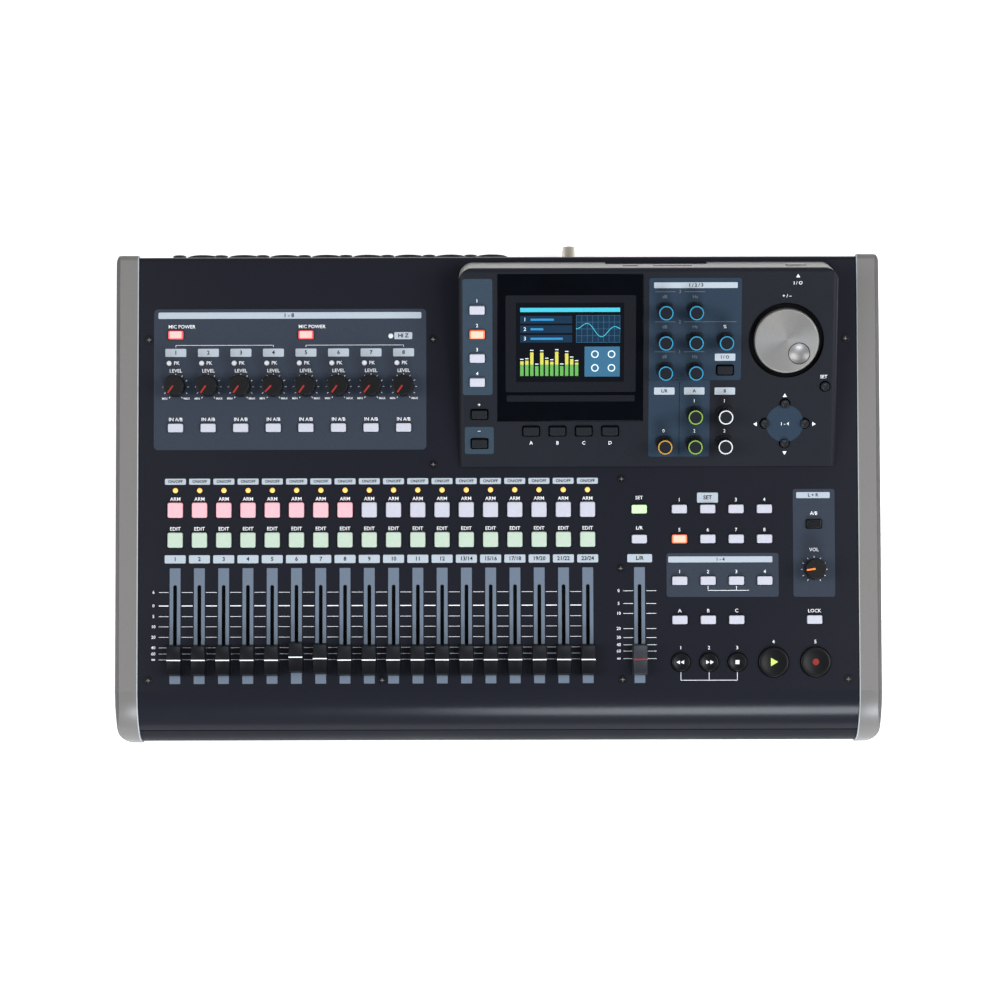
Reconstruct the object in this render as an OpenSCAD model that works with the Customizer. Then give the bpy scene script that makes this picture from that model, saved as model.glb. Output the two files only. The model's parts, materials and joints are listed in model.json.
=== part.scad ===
// Desktop digital multitrack recorder with a raised display unit.
// Millimetres, +X to the right, +Y to the rear, +Z up, resting on its feet at z = 0.

/* [Body] */
// Overall width over the two end cheeks
body_w = 512; // [480:1:560]
// Overall depth from the front of the cheeks to the tips of the phono sockets
body_d = 336; // [320:1:380]
// Height of the control panel above the table, half way back
panel_z = 54; // [48:0.5:70]
// Slope of the control panel, rear higher
panel_slope = 3; // [0:0.5:6]
// Radius of the rounded front edge
nose_r = 35; // [26:0.5:38]
// How far round the nose the top panel reaches, from straight up
nose_split = 54.5; // [40:0.5:70]
// Thickness of the panel and tray sheet
sheet = 1.5; // [1:0.1:2]
// Height of the rubber feet
foot_h = 4; // [2:0.5:8]
// Width of an end cheek
cheek_w = 15.5; // [10:0.1:20]
// How far the cheeks stand proud of the panel
cheek_proud = 1.2; // [0.4:0.1:3]
// How far the phono sockets reach behind the panel's rear edge
rear_over = 12.4; // [10:0.1:16]

/* [Display unit] */
// Width of the display unit
unit_w = 251; // [246:0.5:256]
// Middle of the display unit, right of the centre line
unit_x = 100.4; // [98:0.1:103]
// Length of its sloping face
unit_l = 132.8; // [130:0.1:136]
// Strip of panel left behind the display unit
unit_back = 4.2; // [3:0.1:8]
// Tilt of the face against the panel
unit_tilt = 14; // [8:0.5:18]
// Height of the small front lip
unit_lip = 3; // [2:0.1:5]
// Wall of the moulded housing
unit_wall = 2.5; // [2:0.1:3.5]
// Radius along its top edges
unit_round = 3.5; // [2:0.1:5]
// Radius of its rear corners
unit_corner = 9; // [5:0.5:12]
// Window width
window_w = 97; // [90:0.5:98]
// Window length
window_l = 98.6; // [90:0.2:100]
// Thickness of the window
window_t = 2; // [1:0.1:2]

/* [Faders] */
// Number of track faders
tracks = 18; // [8:1:18]
// Spacing of the track columns
track_pitch = 16.2; // [15:0.05:16.4]
// First track column
track_x = -215; // [-222:0.5:-212]
// Stereo fader column
stereo_x = 94.9; // [92:0.1:97]
// Fader travel
fader_travel = 45; // [30:1:46]
// Cap width
cap_w = 10.3; // [8:0.1:11]
// Cap length
cap_l = 21; // [16:0.1:22]
// Cap height
cap_h = 11; // [8:0.1:14]
// Width of a fader slot
slot_w = 3.2; // [2:0.1:4]

/* [Knobs] */
// Trim knob diameter
trim_d = 14.1; // [10:0.1:16]
// Trim knob height
trim_h = 14; // [10:0.1:18]
// Spacing of the input columns
input_pitch = 21.8; // [20:0.05:22]
// Encoder knob diameter at the foot
encoder_d = 11.4; // [9:0.1:14]
// Encoder knob diameter at the top
encoder_top_d = 9.7; // [8:0.1:10.5]
// Encoder knob height
encoder_h = 15.3; // [10:0.1:18]
// Encoder spacing
encoder_pitch = 20; // [18:0.5:20.5]
// Shaft diameter of the knobs
shaft_d = 6; // [4:0.1:6]
// Jog wheel diameter
jog_d = 43; // [36:0.5:46]
// Diameter of the recess around the jog wheel
jog_recess_d = 50; // [47:0.5:52]

/* [Keys] */
// Side of a square track key
key_sq = 10.1; // [8:0.1:11]
// Width of a bar key
key_w = 10.1; // [8:0.1:12]
// Length of a bar key
key_l = 5.7; // [4:0.1:7]
// Height of a key above the panel
key_up = 2; // [1.4:0.1:4]
// Key travel
key_travel = 1; // [0.6:0.1:1]
// Clearance around a key in its hole
key_clear = 0.45; // [0.3:0.05:0.7]
// Diameter of the two large transport keys
play_d = 20; // [16:0.1:21]
// Diameter of the three small transport keys
stop_d = 12.4; // [10:0.1:13]
// Diameter of a round cursor key
cursor_d = 6.5; // [5:0.1:8]

/* [Sockets] */
// Number of input sockets
inputs = 8; // [4:1:8]
// Spacing of the input sockets on the rear wall
socket_pitch = 28.1; // [27.5:0.1:28.5]
// First XLR socket
xlr_x = -200; // [-202:0.5:-198]
// Bore of a quarter inch jack socket
jack_bore_d = 6.5; // [6.35:0.05:6.7]
// Barrel of a phono socket
phono_d = 8.3; // [8:0.1:8.5]

/* [Hidden] */
$fn = 48;
cut = 0.1;
far = 700;

// fits
gap = 0.3;
shaft_clear = 0.15;
hole_clear = 0.7;
// lets a rounded corner cross its sides at a slight angle
ease = 1.001;

// body section
bend_r = 3;
corner_r = 3;
flange_h = 5;
front_y = -body_d / 2;
rear_y = body_d / 2 - rear_over;
wall_y = rear_y - sheet - gap;
wall_top = panel_z + tan(panel_slope) * wall_y - bend_r - gap;
inner_w = body_w - 2 * cheek_w;
nose_y = front_y + nose_r + cheek_proud;
nose_z = panel_z + (sin(panel_slope) * nose_y - nose_r) / cos(panel_slope);
lip_angle = nose_split + 1.6;
cheek_rear = 1.5;
cheek_bevel = [3.1, 5];
bevel_over = 1;
cheek_nose = [7.5, 25];
cheek_heel = [4.5, 5];

// the plan that the columns and rows are drawn on, stretched to fit the body and the display unit
plan_w = 481;
plan_y = 14;
plan_front = 145.8;
plan_rear = 141.6;
plan_face = [251, 132.8];
plan_shift = -0.65;
unit_run = unit_l * cos(unit_tilt) + (unit_lip + unit_l * sin(unit_tilt)) * tan(unit_tilt);
unit_y = (rear_y - unit_back) / cos(panel_slope) - unit_run;
wide_fit = inner_w / plan_w;
front_fit = (unit_y - nose_y) / plan_front;
rear_fit = (rear_y - unit_y) / plan_rear;
face_fit = [unit_w / plan_face[0], unit_l / plan_face[1]];
function col(x) = x * wide_fit + plan_shift;
function row(y) = unit_y + (y - plan_y) * (y < plan_y ? front_fit : rear_fit);
function at(p) = [col(p[0]), row(p[1])];
function face(p) = [p[0] * face_fit[0], p[1] * face_fit[1]];

// boards
pot_h = 8;
board_t = 1.6;
board_z = -sheet - pot_h;
main_z = foot_h + sheet + 6;
unit_board_z = -14;
switch_h = 3.2;
board_inset = 1.5;
board_end = 12;
board_gap = [-22, -6];
board_rows = [-122, 11];
input_board_end = -48;
input_board_rows = [22, 112];
unit_board_rows = [8, -14];
main_front = -60;
main_rear = 34;
standoff_x = 0.31 * inner_w;
standoff_in = [20, 60];
standoff_d = 6;
panel_drop = -board_z - switch_h;
unit_drop = -unit_board_z - switch_h;

// fader column
slot_row = -92.1;
cap_lift = 0.9;
slot_over = 5;
lever_t = 1.2;
lever_l = 5;
pot_w = 9;
pot_over = 9;
pot_groove = 5.5;
slot_mid = row(slot_row);
cap_rest = slot_mid - fader_travel / 2;
// small differences in how two of the faders were left
fader_rest = [for (i = [0 : tracks - 1]) i == 5 ? 2 : i == 6 ? 1 : 0];

// panel layout: columns and rows of keys, knobs and screws
edit_x = 121.7;
edit_pitch = 18.93;
right_x = 211.5;
stop_x = 122.2;
stop_pitch = 18.8;
play_x = [184, 212];
arm_y = -14.4;
select_y = -34.4;
locate_y = -62.3;
tool_y = -88.4;
source_y = 40.7;
phantom_y = 103.1;
trim_y = 68.3;
light_y = -1.2;
input_light_y = 84.2;
transport_y = -116.6;
monitor_key_y = -24.5;
monitor_knob_y = -54.9;
track_col = [for (i = [0 : tracks - 1]) col(track_x + i * track_pitch)];
input_col = [for (i = [0 : inputs - 1]) col(track_x + i * input_pitch)];
edit_col = [for (i = [0 : 3]) col(edit_x + i * edit_pitch)];
stereo_col = col(stereo_x);
right_col = col(right_x);
arm_row = row(arm_y);
select_row = row(select_y);
locate_row = row(locate_y);
tool_row = row(tool_y);
source_row = row(source_y);
phantom_row = row(phantom_y);
trim_row = row(trim_y);
light_row = row(light_y);
input_light_row = row(input_light_y);
input_light_dx = -4.5;
title_light = [-71, 102.3];
transport_row = row(transport_y);
monitor_key = [right_col, row(monitor_key_y)];
monitor_knob_at = [right_col, row(monitor_knob_y)];
stop_keys = [for (i = [0 : 2]) [col(stop_x + i * stop_pitch), transport_row]];
play_keys = [for (x = play_x) [col(x), transport_row]];
track_keys_at = [for (x = track_col, y = [arm_row, select_row]) [x, y]];
panel_keys_at = concat(
    [for (x = input_col) [x, source_row]],
    [for (i = [0 : 4 : inputs - 1]) [input_col[i], phantom_row]],
    [for (x = edit_col, y = [arm_row, select_row, locate_row]) [x, y]],
    [for (i = [0 : 2]) [edit_col[i], tool_row]],
    [[stereo_col, arm_row], [stereo_col, select_row], [right_col, tool_row], monitor_key]);
lights_at = concat(
    [for (x = track_col) [x, light_row]],
    [for (x = input_col) [x + input_light_dx, input_light_row]],
    [at(title_light)]);
light_d = 3.4;
screw_plan = [
    [-232.9, 99.8], [-42.6, 99.8], [-42.6, 15.7], [83.2, 5.8], [82.4, -54.1],
    [83.4, -128.1], [233.8, -128.1], [233.8, 99.8], [-232.7, -128.1], [-76.8, -128.1]];
screws_at = [for (p = screw_plan) at(p)];
screw_d = 2.6;
screw_head_d = 4.6;
screw_head_h = 1;
screw_l = 9;
post_d = 7;

// display layout, from the middle of the face's front edge
window_plan = [-51.6, 79.9];
window_size = face([window_w, window_l]);
window_at = face(window_plan) - window_size / 2;
window_ledge = 4;
lcd_gap = 0.5;
lcd_plan = [-51.6, 83];
lcd_l = 70;
lcd_t = 4;
lcd_size = [window_size[0] - 2 * (window_ledge + lcd_gap), lcd_l * face_fit[1]];
lcd_at = face(lcd_plan) - lcd_size / 2;
encoder_x = 11;
encoder_rows = [104.9, 84.9, 64.9, 35.5, 15.5];
encoder_cells = [
    [0, 0], [1, 0], [0, 1], [1, 1], [2, 1], [0, 2], [1, 2], [0, 4], [1, 3], [1, 4], [2, 3], [2, 4]];
encoders_at = [
    for (c = encoder_cells) face([encoder_x + c[0] * encoder_pitch, encoder_rows[c[1]]])];
encoder_names = [
    "high_gain_knob", "high_freq_knob", "mid_gain_knob", "mid_freq_knob", "mid_width_knob",
    "low_gain_knob", "low_freq_knob", "pan_knob", "send_1_knob", "send_2_knob",
    "return_1_knob", "return_2_knob"];
jog_plan = [91.4, 84.7];
jog_at = face(jog_plan);
jog_up = 4;
jog_depth = 3;
dimple_at = [8.3, -8.3];
dimple_d = 14;
dimple_depth = 2;
dimple_r = (dimple_d * dimple_d / 4 + dimple_depth * dimple_depth) / (2 * dimple_depth);
side_key_in = 12.2;
side_key_rows = [105.3, 89.1, 73.2, 57.1];
side_keys_at = [for (y = side_key_rows) [side_key_in - unit_w / 2, y * face_fit[1]]];
black_key_in = 13.5;
black_key_rows = [35.4, 15.8];
function_x = -77.6;
function_pitch = 17.53;
function_row = 24.1;
black_keys_at = concat(
    [for (y = black_key_rows) [black_key_in - unit_w / 2, y * face_fit[1]]],
    [face([encoder_x + 2 * encoder_pitch, encoder_rows[2]])],
    [for (i = [0 : 3]) face([function_x + i * function_pitch, function_row])]);
black_key = [11.2, 6.6];
cursor_plan = [91.2, 28.9];
cursor_r = 13.2;
jog_key_in = 7.9;
jog_key_row = 53.8;
round_keys_at = concat(
    [for (a = [0 : 90 : 270]) face(cursor_plan) + cursor_r * [cos(a), sin(a)]],
    [[unit_w / 2 - jog_key_in, jog_key_row * face_fit[1]]]);
opening_in = 4;
opening_front = 9;
opening_rear = 26;
opening_w = unit_w - 2 * opening_in;
opening_y = [unit_y + opening_front, rear_y - opening_rear];

// rear cover of the display unit
cover_top = -4.2;
cover_wrap = unit_corner + 1.5;
standby_plan = 98.5;
standby_x = standby_plan * face_fit[0];
standby_size = [13, 6];
standby_z = -17;
card_plan = 16.6;
card_x = card_plan * face_fit[0];
card_size = [26, 3.2];
port_plan = -11.6;
port_x = port_plan * face_fit[0];
port_size = [10, 3.8];
port_z = -15;
scoop_plan = 6.3;
scoop_w = 68;
scoop_top = -25;
scoop_depth = 1.2;

// rear wall
xlr_z = 25.5;
xlr_flange = [25.4, 30];
xlr_d = 22;
xlr_up = 8;
jack_dx = -14.2;
jack_z = 46.6;
jack_nut_d = 11.4;
jack_thread_d = 8.8;
jack_depth = 24;
jack_nut_h = 4;
jack_thread_h = 5.3;
line_x = 76;
line_pitch = 20;
line_z = 28;
line_jacks = [for (i = [0 : 3]) [col(line_x + i * line_pitch), line_z]];
phono_x = 49.2;
phono_z = [14, 28];
phono_at = [for (z = phono_z) [col(phono_x), z]];
din_x = [166, 190];
din_z = 34;
din_at = [for (x = din_x) [col(x), din_z]];
din_d = 15;
power_x = 216;
power_at = [col(power_x), din_z];
feet_at = [for (x = [-1, 1], y = [front_y + 34, wall_y - 22]) [x * (inner_w / 2 - 26), y]];
foot_d = 18;

fader_names = [for (i = [0 : tracks - 1]) str("fader_", i + 1)];
trim_letters = ["a", "b", "c", "d", "e", "f", "g", "h"];
trim_names = [for (i = [0 : inputs - 1]) str("trim_knob_", trim_letters[i])];
// where the pointers stand: the low stop, and how far each knob is turned up from it
pointer_low = 35;
pointer_w = 1;
trim_turn = [0, 0, 0, 8, 0, 0, 3, 0];
monitor_turn = 47;
encoder_foot = 2;
ring_w = 0.9;
ring_depth = 0.4;
fixed_names = [
    "base_tray", "top_panel", "left_cheek", "right_cheek", "display_housing", "display_rear_cover",
    "display_window", "lcd_module", "circuit_boards", "fader_tracks", "rotary_bodies",
    "rear_sockets", "screws", "feet", "track_keys", "panel_keys", "display_keys",
    "transport_keys", "standby_key", "stereo_fader", "monitor_knob", "jog_wheel"];

// Places its children in the control panel's own frame.
module on_panel() {
    translate([0, 0, panel_z])
        rotate([panel_slope, 0, 0])
            children();
}

// Places its children in the frame of the display unit's face.
module on_unit() {
    on_panel()
        translate([col(unit_x), unit_y, unit_lip])
            rotate([unit_tilt, 0, 0])
                children();
}

// Extrudes a side profile (depth, height) across a width centred on the middle.
module across(width) {
    translate([-width / 2, 0, 0])
        rotate([90, 0, 90])
            linear_extrude(width)
                children();
}

// Rectangle with rounded corners, centred.
module rounded(size, r) {
    square([size[0] - 2 * r, size[1]], center = true);
    square([size[0], size[1] - 2 * r], center = true);
    for (x = [-1, 1], y = [-1, 1])
        translate([x * (size[0] / 2 - r), y * (size[1] / 2 - r)])
            circle(r);
}

// Side profile of the body, moved inwards by i, with its rear face at the depth given.
module body_section(i, rear) {
    up = [-sin(panel_slope), cos(panel_slope)];
    bend_y = rear - bend_r;
    bend = [bend_y, panel_z + (sin(panel_slope) * bend_y - bend_r) / cos(panel_slope)];
    corners = [
        [[nose_y, nose_z], nose_r - i, [-1, 0], up],
        [bend, bend_r - i, up, [1, 0]],
        [[rear - corner_r, foot_h + corner_r], corner_r - i, [1, 0], [0, -1]],
        [[nose_y - nose_r + corner_r, foot_h + corner_r], corner_r - i, [0, -1], [-1, 0]]];
    difference() {
        polygon([for (c = corners) c[0] + tip(c)]);
        for (c = corners)
            translate(c[0])
                difference() {
                    polygon([[0, 0], c[1] * c[2], 1.2 * tip(c), c[1] * c[3]]);
                    circle(ease * c[1], $fn = 96);
                }
    }
}

// From the centre of a rounded corner to where its two sides would meet.
function tip(c) = c[1] * (c[2] + c[3]) / (1 + c[2] * c[3]);

// Everything above a line that leaves the nose at the angle and the rear face at the height given.
module above_split(angle, rear_z) {
    polygon([
        [nose_y, nose_z],
        [nose_y, nose_z] + far * [-sin(angle), cos(angle)],
        [far, far],
        [far, rear_z],
        [rear_y - 2 * bend_r, rear_z]]);
}

// Screw posts, square to the panel, from the tray floor to the panel.
module posts(d) {
    intersection() {
        on_panel()
            for (p = screws_at)
                translate([p[0], p[1], -sheet - panel_z])
                    cylinder(d = d, h = panel_z);
        translate([-far / 2, -far / 2, foot_h + sheet / 2])
            cube([far, far, far]);
    }
}

// Folded tray: front lip, floor, rear wall, end walls and screw posts.
module base_tray() {
    color([0.12, 0.12, 0.13])
        difference() {
            union() {
                across(inner_w)
                    difference() {
                        body_section(0, wall_y);
                        body_section(sheet, wall_y);
                        above_split(lip_angle, wall_top);
                    }
                for (s = [-1, 1])
                    translate([s * (inner_w - sheet) / 2, 0, 0])
                        across(sheet)
                            end_wall();
                posts(post_d);
                for (p = feet_at)
                    translate([p[0], p[1], foot_h])
                        cylinder(d = post_d, h = main_z - foot_h);
            }
            on_panel()
                for (p = screws_at)
                    translate([p[0], p[1], -sheet - screw_l])
                        cylinder(d = screw_d + 2 * gap, h = screw_l + cut);
            rear_holes();
            for (p = feet_at)
                translate([p[0], p[1], foot_h - cut])
                    cylinder(d = screw_d + 2 * gap, h = screw_l);
        }
}

// End wall of the tray: reaches the panel where it is flat, and stays clear of the nose.
module end_wall() {
    intersection() {
        body_section(sheet, wall_y);
        union() {
            body_section(sheet + 1, wall_y);
            translate([nose_y + 8, 0])
                square([wall_y - nose_y - 16, far]);
        }
    }
}

// Holes in the rear wall.
module rear_holes() {
    through(xlr_at(), xlr_d + 2 * hole_clear);
    through(jacks_at(), jack_thread_d + 2 * hole_clear);
    through(phono_at, phono_d + 2 * hole_clear);
    through(din_at, din_d + 2 * hole_clear);
    through([power_at], jack_nut_d + 2 * hole_clear);
}

module through(places, d) {
    for (p = places)
        translate([p[0], wall_y + cut, p[1]])
            rotate([90, 0, 0])
                cylinder(d = d, h = sheet + 2 * cut);
}

function xlr_at() = [for (i = [0 : inputs - 1]) [col(xlr_x + i * socket_pitch), xlr_z]];
function jacks_at() = concat(
    [for (p = xlr_at()) [p[0] + jack_dx, jack_z]], line_jacks);

// Folded top panel with every hole and slot.
module top_panel() {
    color([0.15, 0.16, 0.19])
        difference() {
            across(inner_w - 2 * gap)
                intersection() {
                    difference() {
                        body_section(0, rear_y);
                        body_section(sheet, rear_y);
                    }
                    above_split(nose_split, wall_top - flange_h);
                }
            on_panel()
                translate([0, 0, -sheet - 1])
                    linear_extrude(sheet + 2)
                        panel_holes();
        }
}

module panel_holes() {
    for (x = concat(track_col, [stereo_col]))
        translate([x, slot_mid])
            rounded([slot_w, fader_travel + lever_l + slot_over], slot_w / 2 - cut);
    for (p = track_keys_at)
        translate(p)
            rounded([key_sq, key_sq] + 2 * key_clear * [1, 1], 1.2);
    for (p = panel_keys_at)
        translate(p)
            rounded([key_w, key_l] + 2 * key_clear * [1, 1], 1.2);
    for (p = stop_keys)
        translate(p)
            circle(d = stop_d + 2 * key_clear);
    for (p = play_keys)
        translate(p)
            circle(d = play_d + 2 * key_clear);
    for (p = lights_at)
        translate(p)
            circle(d = light_d + 2 * gap);
    for (x = input_col)
        translate([x, trim_row])
            circle(d = shaft_d + 2 * hole_clear);
    translate(monitor_knob_at)
        circle(d = shaft_d + 2 * hole_clear);
    for (p = screws_at)
        translate(p)
            circle(d = screw_d + 2 * gap);
    translate([col(unit_x) - opening_w / 2, opening_y[0]])
        square([opening_w, opening_y[1] - opening_y[0]]);
}

// End cheek for the right side: side profile, plan outline and bevelled outer edge.
module cheek() {
    intersection() {
        translate([body_w / 2 - cheek_w / 2, 0, 0])
            across(cheek_w)
                body_section(-cheek_proud, rear_y + cheek_rear - cheek_proud);
        linear_extrude(far)
            cheek_plan();
        cheek_room();
    }
}

module cheek_plan() {
    length = rear_y + cheek_rear - front_y;
    x0 = body_w / 2 - cheek_w;
    translate([x0, front_y])
        difference() {
            square([cheek_w, length]);
            translate([cheek_w, 0])
                corner_cut(cheek_nose[0], cheek_nose[1], 1);
            translate([cheek_w, length])
                corner_cut(cheek_heel[0], cheek_heel[1], -1);
        }
}

// Waste outside a rounded corner, its long side along the depth.
module corner_cut(w, l, s) {
    r = (w * w + l * l) / (2 * w);
    difference() {
        translate([-w, s > 0 ? -cut : -l])
            square([w + cut, l + cut]);
        translate([-r, s * l])
            circle(ease * r, $fn = 96);
    }
}

// Section of a cheek with its bevelled outer edge, across and up from the axis of the nose.
function cheek_edge(low) =
    let (x1 = body_w / 2, x0 = x1 - cheek_w, top = nose_r + cheek_proud,
         lean = cheek_bevel[0] / cheek_bevel[1])
    [[x0, low], [x1, low], [x1, top - cheek_bevel[1]],
     [x1 - cheek_bevel[0] - lean * bevel_over, top + bevel_over], [x0, top + bevel_over]];

// Room for a cheek: that section along the panel and round the nose, and all below the nose's axis.
module cheek_room() {
    on_panel()
        translate([0, (nose_y - nose_r * sin(panel_slope)) / cos(panel_slope), -nose_r]) {
            rotate([90, 0, 0])
                translate([0, 0, -far])
                    linear_extrude(far)
                        polygon(cheek_edge(-far));
            rotate([0, 90, 0])
                rotate([0, 0, 180])
                    rotate_extrude(angle = 90)
                        polygon([for (p = cheek_edge(0)) [p[1], p[0]]]);
            translate([body_w / 2 - cheek_w, -far, -far])
                cube([cheek_w, far, far]);
        }
}

module right_cheek() {
    color([0.54, 0.53, 0.51])
        cheek();
}

module left_cheek() {
    color([0.54, 0.53, 0.51])
        mirror([1, 0, 0])
            cheek();
}

// Solid wedge of the display unit, from the panel up to its face.
module unit_solid() {
    intersection() {
        on_unit()
            translate([0, 0, -far / 2])
                linear_extrude(far)
                    unit_outline(0);
        on_unit()
            across(unit_w)
                unit_side();
        on_unit()
            rotate([90, 0, 0])
                translate([0, 0, -far / 2])
                    linear_extrude(far)
                        unit_front();
        above_panel(0);
    }
}

// Hollow inside the wedge, open towards the panel.
module unit_cavity() {
    intersection() {
        on_unit()
            translate([0, 0, -far - unit_wall])
                linear_extrude(far)
                    unit_outline(unit_wall);
        above_panel(-unit_wall);
    }
}

module above_panel(z) {
    on_panel()
        translate([-far / 2, -far / 2, z])
            cube([far, far, far]);
}

// Plan outline of the wedge, moved inwards by i.
module unit_outline(i) {
    r = unit_corner - i;
    w = unit_w - 2 * i;
    l = unit_l - 2 * i;
    translate([-w / 2, i])
        square([w, l - r]);
    translate([-w / 2 + r, i])
        square([w - 2 * r, l]);
    for (s = [-1, 1])
        translate([s * (w / 2 - r), i + l - r])
            circle(r);
}

module unit_side() {
    r = unit_round;
    translate([-far / 2, -far])
        square([far / 2 + unit_l - r, far]);
    translate([-far / 2, -far])
        square([far / 2 + unit_l, far - r]);
    translate([unit_l - r, -r])
        circle(r);
}

module unit_front() {
    half = unit_w / 2;
    r = unit_round;
    translate([-half + r, -far])
        square([2 * (half - r), far]);
    translate([-half, -far])
        square([2 * half, far - r]);
    for (s = [-1, 1])
        translate([s * (half - r), -r])
            circle(r);
}

// Rear zone that belongs to the silver cover; grow makes room around it.
module cover_zone(grow) {
    on_unit()
        translate([-far / 2, unit_l - cover_wrap - grow, -far])
            cube([far, far, far + cover_top + grow]);
}

// Hollow wedge with the recess for the window, holes for keys and shafts, and the jog recess.
module display_housing() {
    color([0.18, 0.19, 0.22])
        difference() {
            unit_solid();
            difference() {
                unit_cavity();
                on_unit()
                    translate([jog_at[0], jog_at[1], -jog_depth - unit_wall])
                        cylinder(d = jog_recess_d + 2 * unit_wall, h = jog_depth + unit_wall);
            }
            cover_zone(gap);
            on_unit() {
                translate([window_at[0], window_at[1], -window_t])
                    linear_extrude(far)
                        square(window_size);
                translate([window_at[0] + window_ledge, window_at[1] + window_ledge, -far / 2])
                    linear_extrude(far)
                        square(window_size - 2 * window_ledge * [1, 1]);
                translate([jog_at[0], jog_at[1], -jog_depth])
                    cylinder(d = jog_recess_d, h = far);
                translate([0, 0, -2 * unit_wall - jog_depth])
                    linear_extrude(far)
                        unit_holes();
            }
        }
}

module unit_holes() {
    for (p = encoders_at)
        translate(p)
            circle(d = shaft_d + 2 * hole_clear);
    translate(jog_at)
        circle(d = shaft_d + 2 * hole_clear);
    for (p = side_keys_at)
        translate(p)
            rounded([key_w, key_l] + 2 * key_clear * [1, 1], 1.2);
    for (p = black_keys_at)
        translate(p)
            rounded(black_key + 2 * key_clear * [1, 1], 1.2);
    for (p = round_keys_at)
        translate(p)
            circle(d = cursor_d + 2 * key_clear);
}

// Silver cover across the back of the wedge, with its scoop, card slot, port and key hole.
module display_rear_cover() {
    color([0.66, 0.65, 0.63])
        difference() {
            intersection() {
                difference() {
                    unit_solid();
                    unit_cavity();
                }
                cover_zone(0);
            }
            on_cover(standby_x, standby_z)
                linear_extrude(far, center = true)
                    rounded(standby_size + 2 * key_clear * [1, 1], standby_size[1] / 2);
            on_cover(scoop_plan * face_fit[0], scoop_top)
                translate([-scoop_w / 2, -far, -scoop_depth])
                    cube([scoop_w, far, far]);
            on_cover(card_x, port_z)
                linear_extrude(far, center = true)
                    square(card_size, center = true);
            on_cover(port_x, port_z)
                linear_extrude(far, center = true)
                    square(port_size, center = true);
        }
}

// Frame on the outer face of the rear cover: x across, y up the cover, z outwards.
module on_cover(x, z) {
    on_unit()
        translate([x, unit_l, z])
            rotate([-90, 0, 0])
                mirror([0, 1, 0])
                    intersection() {
                        children();
                        translate([-far / 2, -far / 2, -2 * unit_wall])
                            cube([far, far, far]);
                    }
}

// Flush glossy window in its ledge.
module display_window() {
    color([0.03, 0.03, 0.04])
        on_unit()
            translate([window_at[0] + gap, window_at[1] + gap, -window_t])
                linear_extrude(window_t)
                    square(window_size - 2 * gap * [1, 1]);
}

// Screen module under the window.
module lcd_module() {
    color([0.2, 0.5, 0.7])
        on_unit()
            translate([lcd_at[0], lcd_at[1], -window_t - lcd_t])
                linear_extrude(lcd_t)
                    square(lcd_size);
}

// A board with its switches and lights, top face at z.
module board(x, y, z, switches, lights, light_top) {
    translate([x[0], y[0], z - board_t])
        cube([x[1] - x[0], y[1] - y[0], board_t]);
    for (p = switches)
        translate([p[0] - 3, p[1] - 3, z - cut])
            cube([6, 6, switch_h + cut]);
    for (p = lights) {
        translate([p[0], p[1], z - cut])
            cylinder(d = light_d, h = light_top - z + cut);
        translate([p[0], p[1], light_top])
            light_dome();
    }
}

module light_dome() {
    intersection() {
        sphere(d = light_d);
        cylinder(d = light_d, h = light_d);
    }
}

function inside(places, x, y) =
    [for (p = places) if (p[0] > x[0] && p[0] < x[1] && p[1] > y[0] && p[1] < y[1]) p];

// Control boards under the panel, the display board and the main board.
module circuit_boards() {
    left = track_col[0] - board_end;
    right = inner_w / 2 - board_end;
    front = [row(board_rows[0]), row(board_rows[1])];
    areas = [
        [[left, stereo_col + board_gap[0]], front],
        [[stereo_col + board_gap[1], right], front],
        [[left, col(input_board_end)], [row(input_board_rows[0]), row(input_board_rows[1])]]];
    keys = concat(track_keys_at, panel_keys_at, stop_keys, play_keys);
    color([0.1, 0.3, 0.2]) {
        on_panel()
            for (a = areas)
                board(a[0], a[1], board_z, inside(keys, a[0], a[1]),
                    inside(lights_at, a[0], a[1]), -light_d / 4);
        on_unit()
            board((opening_w / 2 - board_inset) * [-1, 1], unit_board_rows + [0, unit_l],
                unit_board_z, concat(side_keys_at, black_keys_at, round_keys_at), [], 0);
        difference() {
            translate([0, 0, main_z])
                board([-right, right], [row(main_front), wall_y - main_rear], board_t, [], [], 0);
            posts(post_d + 2);
        }
        main_standoffs();
    }
}

// Stand-offs that carry the main board on the tray floor.
module main_standoffs() {
    front = row(main_front) + standoff_in[0];
    rear = wall_y - main_rear - standoff_in[1];
    for (x = [-1 : 1], y = [front, rear])
        translate([x * standoff_x, y, foot_h + sheet])
            cylinder(d = standoff_d, h = main_z - foot_h - sheet);
}

// Slide pot bodies with the groove for the lever.
module fader_tracks() {
    color([0.45, 0.46, 0.48])
        on_panel()
            for (x = concat(track_col, [stereo_col]))
                translate([x, slot_mid, board_z])
                    difference() {
                        translate([-pot_w / 2, -fader_travel / 2 - pot_over, 0])
                            cube([pot_w, fader_travel + 2 * pot_over, pot_h]);
                        translate([-slot_w / 2, -(fader_travel + lever_l + slot_over) / 2,
                                pot_h - pot_groove])
                            cube([slot_w, fader_travel + lever_l + slot_over, pot_groove + cut]);
                    }
}

// Pot or encoder: square body and round bushing with the shaft's bore.
module rotary_body(height) {
    difference() {
        union() {
            translate([-5.5, -5.5, -height])
                cube([11, 11, height - 2]);
            translate([0, 0, -height])
                cylinder(d = shaft_d + 3, h = height);
        }
        translate([0, 0, -height + 1.5])
            cylinder(d = shaft_d + 2 * shaft_clear, h = height);
    }
}

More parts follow.
